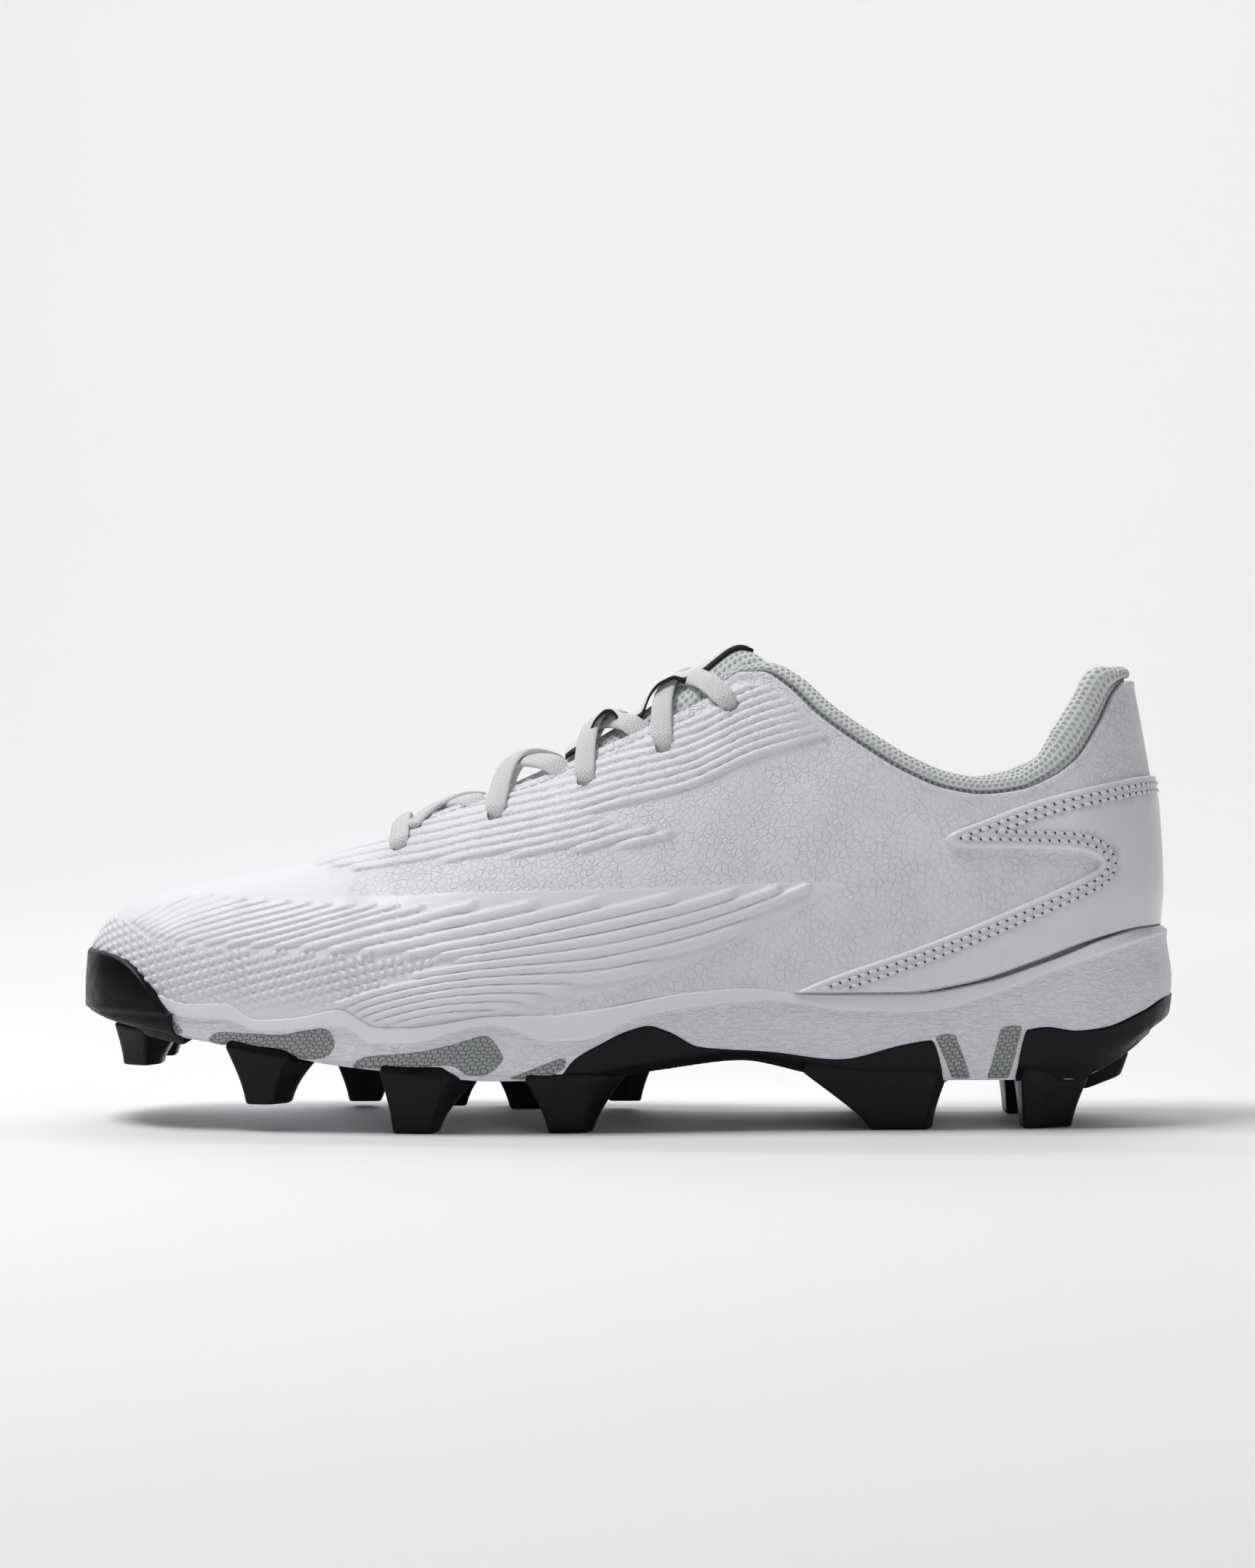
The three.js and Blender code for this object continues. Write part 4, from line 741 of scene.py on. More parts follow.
def upperPiece():
    turn = spreadTurns(relief["columns"])
    for side, name in ((-1, "upper_outer"), (1, "upper_inner")):
        top = riseAtEdge(turn, side)
        rise, girth = evenRises(turn, side, top, relief["rows"])
        grid = np.broadcast_to(turn[:, None], rise.shape)
        point, normal = shell(grid, side, rise)
        foot = archPoint(turn, side, 0.25)
        arc = np.concatenate([[0], np.cumsum(np.linalg.norm(np.diff(foot, axis=0), axis=-1))])
        u, _ = seen(point)
        pace = np.gradient(u, axis=0) / np.maximum(np.gradient(arc), 1e-3)[:, None]
        cut = np.where(top < 0.999, 1.0, 1000.0)
        toEdge = (girth[:, None] * (1 - np.linspace(0, 1, relief["rows"]))) * cut[:, None]
        height, grain, valleyShade = upperRelief(point, np.broadcast_to(arc[:, None], u.shape), pace, toEdge)
        height = height * smooth(0, 1.2, np.linspace(0, 1, relief["rows"]) * girth[:, None])
        toRidge = girth[:, None] * (1 - np.linspace(0, 1, relief["rows"])) + 1000 * (top < 0.999)[:, None]
        height = height * smooth(1.5, 5, arc)[:, None] * smooth(0, 2.5, toRidge)
        surface = point + normal * height[..., None]
        surface[:, 0, 2] -= 0.6
        lip = []
        for down, up in ((0.12, 0.22), (0.6, 0.42), (1.3, 0.42), (1.85, 0.2), (2.0, -0.6), (2.0, -9)):
            rounded = point[:, -1] - normal[:, -1] * down
            rounded[:, 2] += up * (top < 0.999)
            lip.append(rounded)
        open_ = (top < 0.999)[:, None]
        lip = [np.where(open_, ring, surface[:, -1]) for ring in lip]
        surface = np.concatenate([surface, np.stack(lip, 1)], 1)
        grain = np.concatenate([grain, np.repeat(grain[:, -1:], len(lip), 1)], 1)
        valleyShade = np.concatenate([valleyShade, np.zeros((len(turn), len(lip)))], 1)
        rows = surface.shape[1]
        cells = gridFaces(len(turn), rows).reshape(len(turn) - 1, rows - 1, 4)
        keep = np.ones(cells.shape[:2], bool)
        closed = (top[:-1] >= 0.999) & (top[1:] >= 0.999)
        keep[closed, relief["rows"] - 1:] = False
        points = surface.reshape(-1, 3)
        for row in range(5):  # punched eyelets
            hole = archPoint(*eyeletAt(row, side)[:1], side, eyeletAt(row, side)[1])
            away = np.linalg.norm(points - hole, axis=-1)
            radius = shoe["eyeletSize"] / 2
            centre = points[cells].mean(2)
            inside = (np.linalg.norm(centre - hole, axis=-1) < radius) & (np.arange(rows - 1) < relief["rows"] - 1)
            keep &= ~inside
            rimmed = np.zeros(len(points), bool)
            rimmed[cells[inside].ravel()] = True
            kept = np.zeros(len(points), bool)
            kept[cells[keep].ravel()] = True
            rimmed &= kept
            pull = (radius / np.maximum(away, 0.2))[:, None]
            points[rimmed] = (hole + (points - hole) * pull)[rimmed]
        if side > 0:
            cells = cells[..., ::-1]
        fields = {"grain": grain.ravel(), "valleyShade": valleyShade.ravel()}
        node = "upper" if side < 0 else None
        piece = build(name, points, cells[keep].tolist(), white, node, fields=fields)
        weld(piece, 0.00002)


def weld(piece, distance):  # joins the halves of a piece along their shared line
    import bmesh
    work = bmesh.new()
    work.from_mesh(piece.data)
    bmesh.ops.remove_doubles(work, verts=work.verts, dist=distance)
    loose = [v for v in work.verts if not v.link_faces]
    bmesh.ops.delete(work, geom=loose, context="VERTS")
    bmesh.ops.recalc_face_normals(work, faces=work.faces)
    work.to_mesh(piece.data)
    work.free()


print("upper")
upperPiece()


def liningPiece():  # cloth on the inside of the wall, from the bed to under the collar
    turn = np.linspace(0.05, 1, 120)
    parts = Parts()
    for side in (-1, 1):
        top = riseAtEdge(turn, side)
        bedded = heightZ(read(bottom, "bed", alongOf(turn)))
        share = np.linspace(0, 1, 30)
        rise = top[:, None] * np.clip(share * 1.12 - 0.12, 0, 1)
        points = shellPoint(turn[:, None] + 0 * rise, side, rise, -shoe["wall"] - 0.05 + 0 * rise)
        low = share < 0.11
        down = np.clip((0.11 - share) / 0.11, 0, 1)
        points[..., 2] = np.where(low, mix(points[..., 2], bedded[:, None], down), points[..., 2])
        uv = np.stack([lengthX(alongOf(turn))[:, None] + 0 * rise, share * 80 + 0 * rise], -1)
        parts.add(points, gridFaces(len(turn), 30), uv)
    piece = parts.made("upper_lining", liningCloth)
    weld(piece, 0.00002)
    return piece


liningPiece()


# Overlay round the heel, its rounded edge and two rows of stitches

counter = {"round": 0.8, "sunk": 0.25, "rowNear": 2.3, "rowFar": 4.3, "stitch": 2.6, "mesh": 1.9}
counterEdge = [
    (1.03, 0.714), (0.966, 0.712), (0.937, 0.7), (0.873, 0.661), (0.815, 0.607), (0.789, 0.58),
    (0.782, 0.562), (0.792, 0.547), (0.847, 0.542), (0.9, 0.536), (0.917, 0.522), (0.921, 0.505),
    (0.912, 0.485), (0.834, 0.394), (0.757, 0.314), (0.679, 0.245), (0.63, 0.19),
]


def centripetal(knots, steps):  # smooth open line through knots, evenly spaced along it
    knots = np.asarray(knots, float)
    ends = np.concatenate([[2 * knots[0] - knots[1]], knots, [2 * knots[-1] - knots[-2]]])
    out = []
    for k in range(len(knots) - 1):
        p = ends[k:k + 4]
        t = np.concatenate([[0], np.cumsum(np.linalg.norm(np.diff(p, axis=0), axis=1) ** 0.5)])
        s = np.linspace(t[1], t[2], 24, endpoint=False)[:, None]
        a = [((t[i + 1] - s) * p[i] + (s - t[i]) * p[i + 1]) / (t[i + 1] - t[i]) for i in range(3)]
        b = [((t[i + 2] - s) * a[i] + (s - t[i]) * a[i + 1]) / (t[i + 2] - t[i]) for i in range(2)]
        out.append(((t[2] - s) * b[0] + (s - t[1]) * b[1]) / (t[2] - t[1]))
    return evenly(np.concatenate(out + [knots[-1:]]), steps)


def evenly(path, steps):
    run = np.concatenate([[0], np.cumsum(np.linalg.norm(np.diff(path, axis=0), axis=1))])
    even = np.linspace(0, run[-1], steps)
    return np.stack([np.interp(even, run, path[:, k]) for k in range(path.shape[1])], 1)


def distanceTo(path, points):  # distance from points to a polyline
    best = np.full(len(points), 1e9)
    for a, b in zip(path[:-1], path[1:]):
        run = b - a
        share = np.clip(((points - a) @ run) / max(run @ run, 1e-12), 0, 1)
        best = np.minimum(best, np.linalg.norm(points - (a + share[:, None] * run), axis=1))
    return best


class HeelMap:  # lengths round the heel at one level, so that an overlay is drawn flat
    def __init__(self, side):
        self.side = side
        self.turns = np.linspace(0.4, 1, 400)
        path = archPoint(self.turns, side, 0.25)
        self.arc = np.concatenate([[0], np.cumsum(np.linalg.norm(np.diff(path, axis=0), axis=1))])

    def flat(self, along, up):
        x, z = lengthX(along), heightZ(up)
        turn, _ = placeAt(np.minimum(x, lengthX(0.99)), self.side, z)
        reach = archPoint(np.ones(turn.shape), self.side, riseAt(1.0, self.side, z))[..., 0]
        turn = np.where(x >= reach - 0.05, 1.0, turn)
        return np.stack([np.interp(turn, self.turns, self.arc), z], -1)

    def point(self, places, offset):
        turn = np.interp(places[:, 0], self.arc, self.turns)
        rise = riseAt(turn, self.side, places[:, 1])
        return shellPoint(turn, self.side, rise, offset)

    def foot(self, along):
        turn = np.interp(along, self.arc, self.turns)
        return biteZ(alongOf(turn)) - 0.35


def counterPiece():
    parts, stitches, prickShades, seams = Parts(), Parts(), Parts(), []
    for side in (-1, 1):
        flat = HeelMap(side)
        knots = np.array([(a, u) for a, u in counterEdge])
        raw = centripetal(knots, 300)
        raw = raw[raw[:, 1] > read(bite, "up", raw[:, 0]) - 0.004]
        path = flat.flat(raw[:, 0], raw[:, 1])
        path = path[path[:, 0] < flat.arc[-1] - 0.05]
        path = np.concatenate([[[flat.arc[-1], path[0, 1]]], path])
        path = evenly(path, 260)
        foot = np.linspace(path[-1, 0] + 0.5, flat.arc[-1], 70)
        bottomLine = np.stack([foot, flat.foot(foot)], 1)
        outline = np.concatenate([path, bottomLine])
        tangent = np.gradient(path, axis=0)
        inward = np.stack([tangent[:, 1], -tangent[:, 0]], 1)
        inward /= np.linalg.norm(inward, axis=1, keepdims=True)
        middle = path[60] + inward[60] * 3
        inward = inward if insideOf(outline, middle[None])[0] else -inward
        rings = []
        for depth in (0.12, 0.3, 0.55, 0.85, 1.3, 1.8, 2.3, 2.8, 3.3, 3.8, 4.3, 4.8):
            ring = path + inward * depth
            step = 1 if depth < 1 else 2
            good = (distanceTo(path, ring) > depth * 0.93) & insideOf(outline, ring)
            rings.append(ring[good][::step])
        xs = np.arange(outline[:, 0].min(), outline[:, 0].max(), counter["mesh"])
        zs = np.arange(outline[:, 1].min(), outline[:, 1].max(), counter["mesh"])
        inner = np.stack(np.meshgrid(xs, zs), -1).reshape(-1, 2)
        good = insideOf(outline, inner) & (distanceTo(path, inner) > 5.6) & (distanceTo(bottomLine, inner) > 0.9)
        points = np.concatenate([outline] + rings + [inner[good]])
        made = delaunay_2d_cdt([Vector(p) for p in points.tolist()], [], [list(range(len(outline)))], 1, 1e-4)
        places = np.array([tuple(p) for p in made[0]])
        away = distanceTo(path, places)
        share = np.clip(away / counter["round"], 0, 1)
        top = shoe["gap"] + shoe["overlayWall"]
        offset = -counter["sunk"] + (top + counter["sunk"]) * np.sqrt(1 - (1 - share) ** 2)
        # each stitch row sits in a sunk groove, and the film's colour is darkened along it as painted shade
        shadedSeamGroove = sum(np.exp(-((away - counter[row]) / 0.5) ** 2) for row in ("rowNear", "rowFar"))
        shadedSeamGroove[places[:, 1] < flat.foot(places[:, 0]) + 1] = 0
        offset -= 0.35 * shadedSeamGroove
        seams.append(np.clip(shadedSeamGroove, 0, 1))
        faces = [list(f) for f in made[2]]
        parts.add(flat.point(places, offset), faces)
        for row in (counter["rowNear"], counter["rowFar"]):
            ring = path + inward * row
            good = (distanceTo(path, ring) > row * 0.95) & insideOf(outline, ring)
            good &= ring[:, 1] > flat.foot(ring[:, 0]) + 0.8
            for run in runsOf(good):
                sewRow(stitches, ring[run], lambda p: flat.point(p, np.full(len(p), top - 0.2)),
                       counter["stitch"], prickShades)
    piece = parts.made("counter_overlay", film, "heel_counter", fields={"shadedSeamGroove": np.concatenate(seams)})
    weld(piece, 0.00005)
    stitches.made("counter_stitches", thread)
    prickShades.made("counter_hole_shades", needleHoleShade)


def insideOf(outline, points):  # even-odd test
    inside = np.zeros(len(points), bool)
    x, y = points[:, 0], points[:, 1]
    for (ax, ay), (bx, by) in zip(outline, np.roll(outline, -1, axis=0)):
        crossing = (ay > y) != (by > y)
        with np.errstate(divide="ignore", invalid="ignore"):
            at = ax + (y - ay) / (by - ay) * (bx - ax)
        inside ^= crossing & (x < at)
    return inside


def runsOf(good):  # stretches of a line where a test holds
    places = np.flatnonzero(good)
    if not len(places):
        return []
    return [run for run in np.split(places, np.flatnonzero(np.diff(places) > 1) + 1) if len(run) > 4]


def sewRow(parts, places, surface, pitch, prickShades=None, width=1.15, thick=0.9):
    path = surface(places)
    length = np.linalg.norm(np.diff(path, axis=0), axis=1).sum()
    count = max(int(length / pitch), 1)
    ends = evenly(path, count + 1)
    for a, b in zip(ends[:-1], ends[1:]):  # a stitch is a short round bead, laid a little slanted
        aside = np.cross(b - a, (0, np.sign(a[1]), 0))
        aside *= 0.24 / max(np.linalg.norm(aside), 1e-6)
        bead(parts, mix(a, b, 0.04) - aside, mix(a, b, 0.96) + aside, width, thick)
        # a small dark bead at each stitch end: painted shade of the needle hole
        if prickShades:
            bead(prickShades, mix(a, b, -0.11), mix(a, b, 0.11), 0.75, 0.5)


def bead(parts, a, b, width, thick):
    ahead = b - a
    length = np.linalg.norm(ahead)
    ahead = ahead / max(length, 1e-6)
    out = np.array([0.0, np.sign(a[1]) or 1.0, 0.3])
    out = out - ahead * (out @ ahead)
    out /= np.linalg.norm(out)
    over = np.cross(ahead, out)
    rings, around = 6, 7
    points = []
    for k in range(rings):
        share = k / (rings - 1)
        swell = math.sin(math.pi * mix(0.06, 0.94, share)) ** 0.55
        middle = a + (b - a) * share + out * (swell - 0.6) * thick * 0.5
        for j in range(around):
            angle = 2 * math.pi * j / around
            points.append(middle + (over * math.cos(angle) * width + out * math.sin(angle) * thick) * swell / 2)
    faces = gridFaces(rings, around, True).tolist()
    faces += [list(range(around))[::-1], [(rings - 1) * around + j for j in range(around)]]
    parts.add(points, faces)


print("counter and stitches")
counterPiece()


def throatStitches():  # one row beside the throat
    parts = Parts()
    for side in (-1, 1):
        turn = np.linspace(turnOf(0.303), turnOf(0.575), 160)
        top = riseAtEdge(turn, side)
        rise, girth = evenRises(turn, side, top, 160)
        step = 2.4 / girth * 159
        pick = [np.interp(159 - s, np.arange(160), row) for s, row in zip(step, rise)]
        path = shellPoint(turn, side, np.array(pick), 0.0 * turn - 0.1)
        length = np.linalg.norm(np.diff(path, axis=0), axis=1).sum()
        ends = evenly(path, int(length / 2.9) + 1)
        for a, b in zip(ends[:-1], ends[1:]):
            bead(parts, mix(a, b, 0.14), mix(a, b, 0.86), 0.6, 0.4)
    parts.made("throat_stitches", thread)


throatStitches()


def eyeletPiece():  # cut wall of each punched hole
    parts = Parts()
    for side in (-1, 1):
        for row in range(5):
            turn, rise = eyeletAt(row, side)
            point, normal = shell(turn, side, rise)
            across = np.cross(normal, (1, 0, 0))
            across /= np.linalg.norm(across)
            ahead = np.cross(across, normal)
            radius = shoe["eyeletSize"] / 2
            rings = []
            for out, depth in ((0.75, 0.02), (0.45, 0.2), (0.1, 0.2), (-0.02, -0.1), (-0.02, -2.2)):
                angles = np.linspace(0, 2 * math.pi, 24, endpoint=False)
                circle = np.cos(angles)[:, None] * ahead + np.sin(angles)[:, None] * across
                rings.append(point + circle * (radius + out) + normal * depth)
            parts.add(np.array(rings), gridFaces(5, 24, True))
    parts.made("eyelet_rims", white, fields=None)


eyeletPiece()


# Padded collar and tongue

collarRows = table(
    "along inward rise",
    (0, 0.22, -3.6), (1, 0.07, -2.8), (2, 0.06, 0.1), (3, -0.2, 0.28), (4, -0.3, 0.55), (5, -0.12, 0.86),
    (6, 0.25, 0.98), (7, 0.7, 0.8), (8, 0.98, 0.3), (9, 1, -0.6), (10, 0.75, -2.2))


def closedLine(values, steps):  # smooth closed line, evenly spaced
    count = len(values)
    out = []
    for k in range(count):
        a, b, c, d = (values[(k + j) % count] for j in (-1, 0, 1, 2))
        t = np.linspace(0, 1, 16, endpoint=False)[:, None]
        out.append(0.5 * (2 * b + (c - a) * t + (2 * a - 5 * b + 4 * c - d) * t ** 2 + (3 * b - a - 3 * c + d) * t ** 3))
    path = np.concatenate(out + [out[0][:1]])
    return evenly(path, steps + 1)[:-1]


def collarPiece():  # thin roll from the throat's top, growing to a full pad round the heel
    section = closedLine(np.stack([collarRows["inward"], collarRows["rise"]], 1), 44)
    turn = np.linspace(turnOf(0.545), 1, 150)
    lengths = np.concatenate([[0], np.cumsum(np.linalg.norm(np.diff(section, axis=0), axis=1))]) * shoe["collarPad"]
    full = mix(0.45, 0.93, smooth(0.57, 0.69, alongOf(turn)))[:, None]
    rings = []
    for side in (-1, 1):
        grid = np.broadcast_to(turn[:, None], (len(turn), len(section)))
        edge, outward = shell(turn, side, riseAtEdge(turn, side))
        ahead = np.gradient(edge, axis=0)
        ahead /= np.maximum(np.linalg.norm(ahead, axis=1, keepdims=True), 1e-6)
        upward = np.cross(outward, ahead)
        upward *= np.where(upward[:, 2:] < 0, -1, 1) / np.maximum(np.linalg.norm(upward, axis=1, keepdims=True), 1e-6)
        climb = smooth(0.25, 0.75, ahead[:, 2:]) * smooth(0.8, 0.88, alongOf(turn))[:, None]
        heelTop = smooth(0.975, 0.999, alongOf(turn))[:, None]
        inward = section[None, :, 0] * full + 0.12 * (1 - full)
        rise = section[None, :, 1] * full
        offset = -(shoe["wall"] + shoe["gap"] + inward * shoe["collarPad"]) + (0.3 + 0.9 * climb) * full * (rise > 0)
        z = edge[:, 2:] + np.minimum(rise, 0) * shoe["collarPad"]
        point = shellPoint(grid, side, riseAt(grid, side, z), offset)
        fuller = 1 + (0.85 if side < 0 else -0.3) * climb
        reach = np.maximum(rise, 0) * shoe["collarPad"] * fuller * (1 - 0.1 * heelTop)
        point = point + upward[:, None] * reach[..., None]
        rings.append(point if side < 0 else point[::-1][1:])
    points = np.concatenate(rings)
    top = points[:, 14]
    run = np.concatenate([[0], np.cumsum(np.linalg.norm(np.diff(top, axis=0), axis=1))])
    uv = np.stack(np.broadcast_arrays(run[:, None], lengths[None, :]), -1)
    rows, columns = points.shape[:2]
    faces = gridFaces(rows, columns, True).tolist()
    faces += [list(range(columns)), [(rows - 1) * columns + k for k in range(columns)][::-1]]
    piece = build("collar_pad", points.reshape(-1, 3), faces, collarMesh, "collar", uv.reshape(-1, 2))
    return piece


print("collar and tongue")
collarPiece()

tongueTop = -(shoe["wall"] + shoe["gap"])


throatTop = line(  # height above the upper's ridge that the webbing reaches along the tongue
    (0.44, 0.2), (0.4527, 0.9), (0.466, 1.0), (0.4715, 2.8), (0.477, 4.2), (0.4836, 4.8), (0.4916, 3.7), (0.507, -0.5),
    (0.5204, -1.2), (0.5285, 1.1), (0.5385, 2.4), (0.5486, 2.0), (0.565, 0), (0.579, -1.6), (0.592, -2.6),
    (0.604, -3.3), (0.612, -3.8), (0.622, -4.9), (0.632, -7), (0.639, -9.3))
tongueCap = line(  # height of the tongue's crown above the upper's ridge
    (0.25, -2.3), (0.44, -2.3), (0.5, -2.4), (0.53, -3.1), (0.56, -2.9), (0.58, -3.2), (0.592, -3.9), (0.604, -4.6),
    (0.612, -5.2), (0.622, -6.3), (0.632, -8.3), (0.639, -10.2), (0.646, -12.6), (0.6525, -16), (0.659, -20),
    (0.669, -27.2), (0.681, -34.5))


def ridgePoint(along, across, offset):  # across is a share of the rise, from the outer side to the inner
    side = np.where(across < 0, -1, 1)
    return shellPoint(turnOf(along), side, 1 - np.abs(across), offset)


def tongueTopPoint(along, side, sunk):  # the tongue's outer face, or a layer sunk under it
    flat = ridgePoint(along, side, 0 * side)
    tucked = 3.4 * smooth(5, -1, flat[..., 2] - edgeZ(alongX(flat[..., 0]))) * smooth(0.5, 0.56, along)
    cap = ridgePoint(along, 0 * side, 0 * side)[..., 2] + tongueCap(along) - sunk
    point = ridgePoint(along, side, tongueTop - tucked - sunk)
    over = point[..., 2] - cap
    soft = mix(0.8, 4, smooth(0.6, 0.66, along))
    point[..., 2] = cap + (over - np.sqrt(over ** 2 + soft ** 2)) / 2
    return point


def tonguePiece():
    rows, lanes = 110, 56
    u = np.linspace(0, 1, rows)[:, None]
    across = np.linspace(-1, 1, lanes)[None, :]
    along = mix(0.262, 0.68, u) + 0 * across
    half = mix(0.3, 0.48, smooth(0.27, 0.5, along)) + 0.1 * smooth(0.64, 0.68, along)
    side = across * half
    thick = shoe["tonguePad"] * (1 - 0.55 * np.abs(across) ** 5)
    thick = thick * np.minimum(1, 0.35 + u * 3) * np.minimum(1, 0.45 + (1 - u) * 9)
    top = tongueTopPoint(along, side, 0 * side)
    low = tongueTopPoint(along, side, thick)
    ring = np.concatenate([top, low[:, ::-1]], 1)
    span = np.linspace(-22, 22, lanes)
    acrossUv = np.concatenate([span, span[::-1] + 60])[None, :] + 0 * u
    alongUv = u * 118 + 0 * acrossUv
    faces = gridFaces(rows, lanes * 2, True).tolist()
    for end in (0, rows - 1):
        base = end * lanes * 2
        for k in range(lanes - 1):
            quad = [base + k, base + k + 1, base + 2 * lanes - 2 - k, base + 2 * lanes - 1 - k]
            faces.append(quad if end else quad[::-1])
    piece = build("tongue_pad", ring.reshape(-1, 3), faces, tongueMesh, "tongue",
                  np.stack([alongUv, acrossUv], -1).reshape(-1, 2))
    return piece


tonguePiece()


def stripPiece():  # webbing down the tongue, drawn over the laces where they cross
    rows, lanes = 150, 17
    half = 10
    along = np.linspace(0.446, 0.638, rows)[:, None]
    width = np.linspace(-1, 1, lanes)[None, :]
    lying = tongueTopPoint(along + 0 * width, 0.18 * width + 0 * along, 0 * (along + width))
    clear = np.maximum(throatTop(along) - tongueCap(along), 1.1) + 0 * width
    crown = lying + np.stack([0 * clear, 0 * clear, clear], -1)
    middle = crown[:, lanes // 2, 2][:, None]
    bridging = smooth(0.462, 0.474, along) * smooth(0.502, 0.49, along)
    bridging = np.maximum(bridging, smooth(0.522, 0.532, along) * smooth(0.566, 0.552, along))
    crown[..., 2] = mix(crown[..., 2], middle - 0.7 * width ** 2, bridging)
    under = crown - (0, 0, 0.9)
    ring = np.concatenate([crown, under[:, ::-1]], 1)
    v = np.concatenate([np.linspace(-half, half, lanes), np.linspace(half, -half, lanes)])[None, :]
    uv = np.stack(np.broadcast_arrays(lengthX(along), v), -1)
    faces = gridFaces(rows, lanes * 2, True).tolist()
    faces += [list(range(lanes * 2)), [(rows - 1) * lanes * 2 + k for k in range(lanes * 2)][::-1]]
    piece = build("tongue_webbing", ring.reshape(-1, 3), faces, stripFinish("strip_webbing", half), "tongue_strip",
                  uv.reshape(-1, 2))


stripPiece()


# Laces: each strand comes up through an eyelet, crosses the tongue and dives under the far edge

lacing = {"sunk": 4.2, "around": 18, "steps": 70}


def lacePath(first, last, lift, dives, share, bow=0.0):
    share = np.asarray(share, float)
    inside = np.clip(share, 0, 1)
    across = mix((1 - first[1]) * first[2], (1 - last[1]) * last[2], inside)
    side = np.where(across < 0, -1, 1)
    along = alongOf(mix(first[0], last[0], inside)) + bow / shoe["length"] * np.sin(math.pi * inside)
    turn = turnOf(along)
    base = shoe["gap"] * 1.7 + shoe["laceThick"] / 2
    offset = base + lift * np.sin(math.pi * inside) ** 2
    start = smooth(0.035, -0.03, share)
    end = smooth(0.965, 1.03, share) if not dives else smooth(0.76, 0.93, share)
    offset = offset - (lacing["sunk"] + base) * start - (lacing["sunk"] + base) * end
    point, normal = shell(turn, side, 1 - np.abs(across))
    run = mix(0.06, 1, smooth(-0.08, 0.05, share))
    return point + normal * offset[..., None], normal, run


def laceStrand(parts, first, last, lift, dives, bow=0.0, rises=False):
    steps = lacing["steps"]
    share = np.linspace(0.12 if rises else -0.03, 0.88 if rises else 1.0 if dives else 1.03, steps)
    path, normal, _ = lacePath(first, last, lift, dives, share, bow)
    flatPath = shellPoint(*laceFoot(first, last, share), 0 * share)
    flatAhead = np.gradient(flatPath, axis=0)
    across = np.cross(normal, flatAhead)
    across /= np.maximum(np.linalg.norm(across, axis=1, keepdims=True), 1e-6)
    for _ in range(3):
        across[1:-1] = (across[:-2] + across[1:-1] * 2 + across[2:]) / 4
    across /= np.linalg.norm(across, axis=1, keepdims=True)
    ahead = np.gradient(path, axis=0)
    ahead /= np.maximum(np.linalg.norm(ahead, axis=1, keepdims=True), 1e-6)
    out = np.cross(ahead, across)
    out /= np.maximum(np.linalg.norm(out, axis=1, keepdims=True), 1e-6)
    facing = (out * normal).sum(1, keepdims=True)
    flip = np.where(np.median(facing) < 0, -1, 1)
    out = out * flip
    angles = np.linspace(0, 2 * math.pi, lacing["around"], endpoint=False)
    flatness = np.sign(np.sin(angles)) * np.abs(np.sin(angles)) ** 0.8
    nearHole = np.maximum(smooth(0.05, -0.02, share), 0 * share if dives else smooth(0.95, 1.02, share))
    width = shoe["laceWidth"] * mix(1, 0.74, nearHole)
    thick = shoe["laceThick"] * mix(1, 1.3, nearHole) * 1.05
    ring = (path[:, None] + across[:, None] * (np.cos(angles)[None, :, None] * width[:, None, None] / 2)
            + out[:, None] * (flatness[None, :, None] * thick[:, None, None] / 2))
    run = np.concatenate([[0], np.cumsum(np.linalg.norm(np.diff(path, axis=0), axis=1))])
    v = np.cos(angles) * shoe["laceWidth"] / 2
    uv = np.stack(np.broadcast_arrays(run[:, None], v[None, :]), -1)
    faces = gridFaces(steps, lacing["around"], True).tolist()
    n = lacing["around"]
    faces += [list(range(n))[::-1], [(steps - 1) * n + k for k in range(n)]]
    parts.add(ring, faces, uv)


def laceFoot(first, last, share):
    across = mix((1 - first[1]) * first[2], (1 - last[1]) * last[2], share)
    return mix(first[0], last[0], share), np.where(across < 0, -1, 1), 1 - np.abs(across)


def hole(row, side):
    turn, rise = eyeletAt(row, side)
    return turn, rise, side


crossing = {"lift": (0.6, 2.1, 0.3, -2.3), "bow": (0.6, -4.6, -5.0, -5.0)}  # at each row, from the toe


def laces():
    bar = Parts()
    laceStrand(bar, hole(0, -1), hole(0, 1), crossing["lift"][0], False, crossing["bow"][0])
    for side in (-1, 1):  # hidden at both ends under the edges of the throat
        laceStrand(bar, hole(0, side), hole(1, -side), -2.3 - 0.6 * side, True, 0, True)
    bar.made("lace_bar", laceWeave, "lace_front")
    for row, name in ((1, "lace_low"), (2, "lace_middle"), (3, "lace_top")):
        parts = Parts()
        for side in (-1, 1):
            lift = crossing["lift"][row] - (2.1 if side > 0 else 0)
            laceStrand(parts, hole(row, side), hole(row + 1, -side), lift, row < 3, crossing["bow"][row])
        parts.made(name + "_cord", laceWeave, name)


print("laces")
laces()


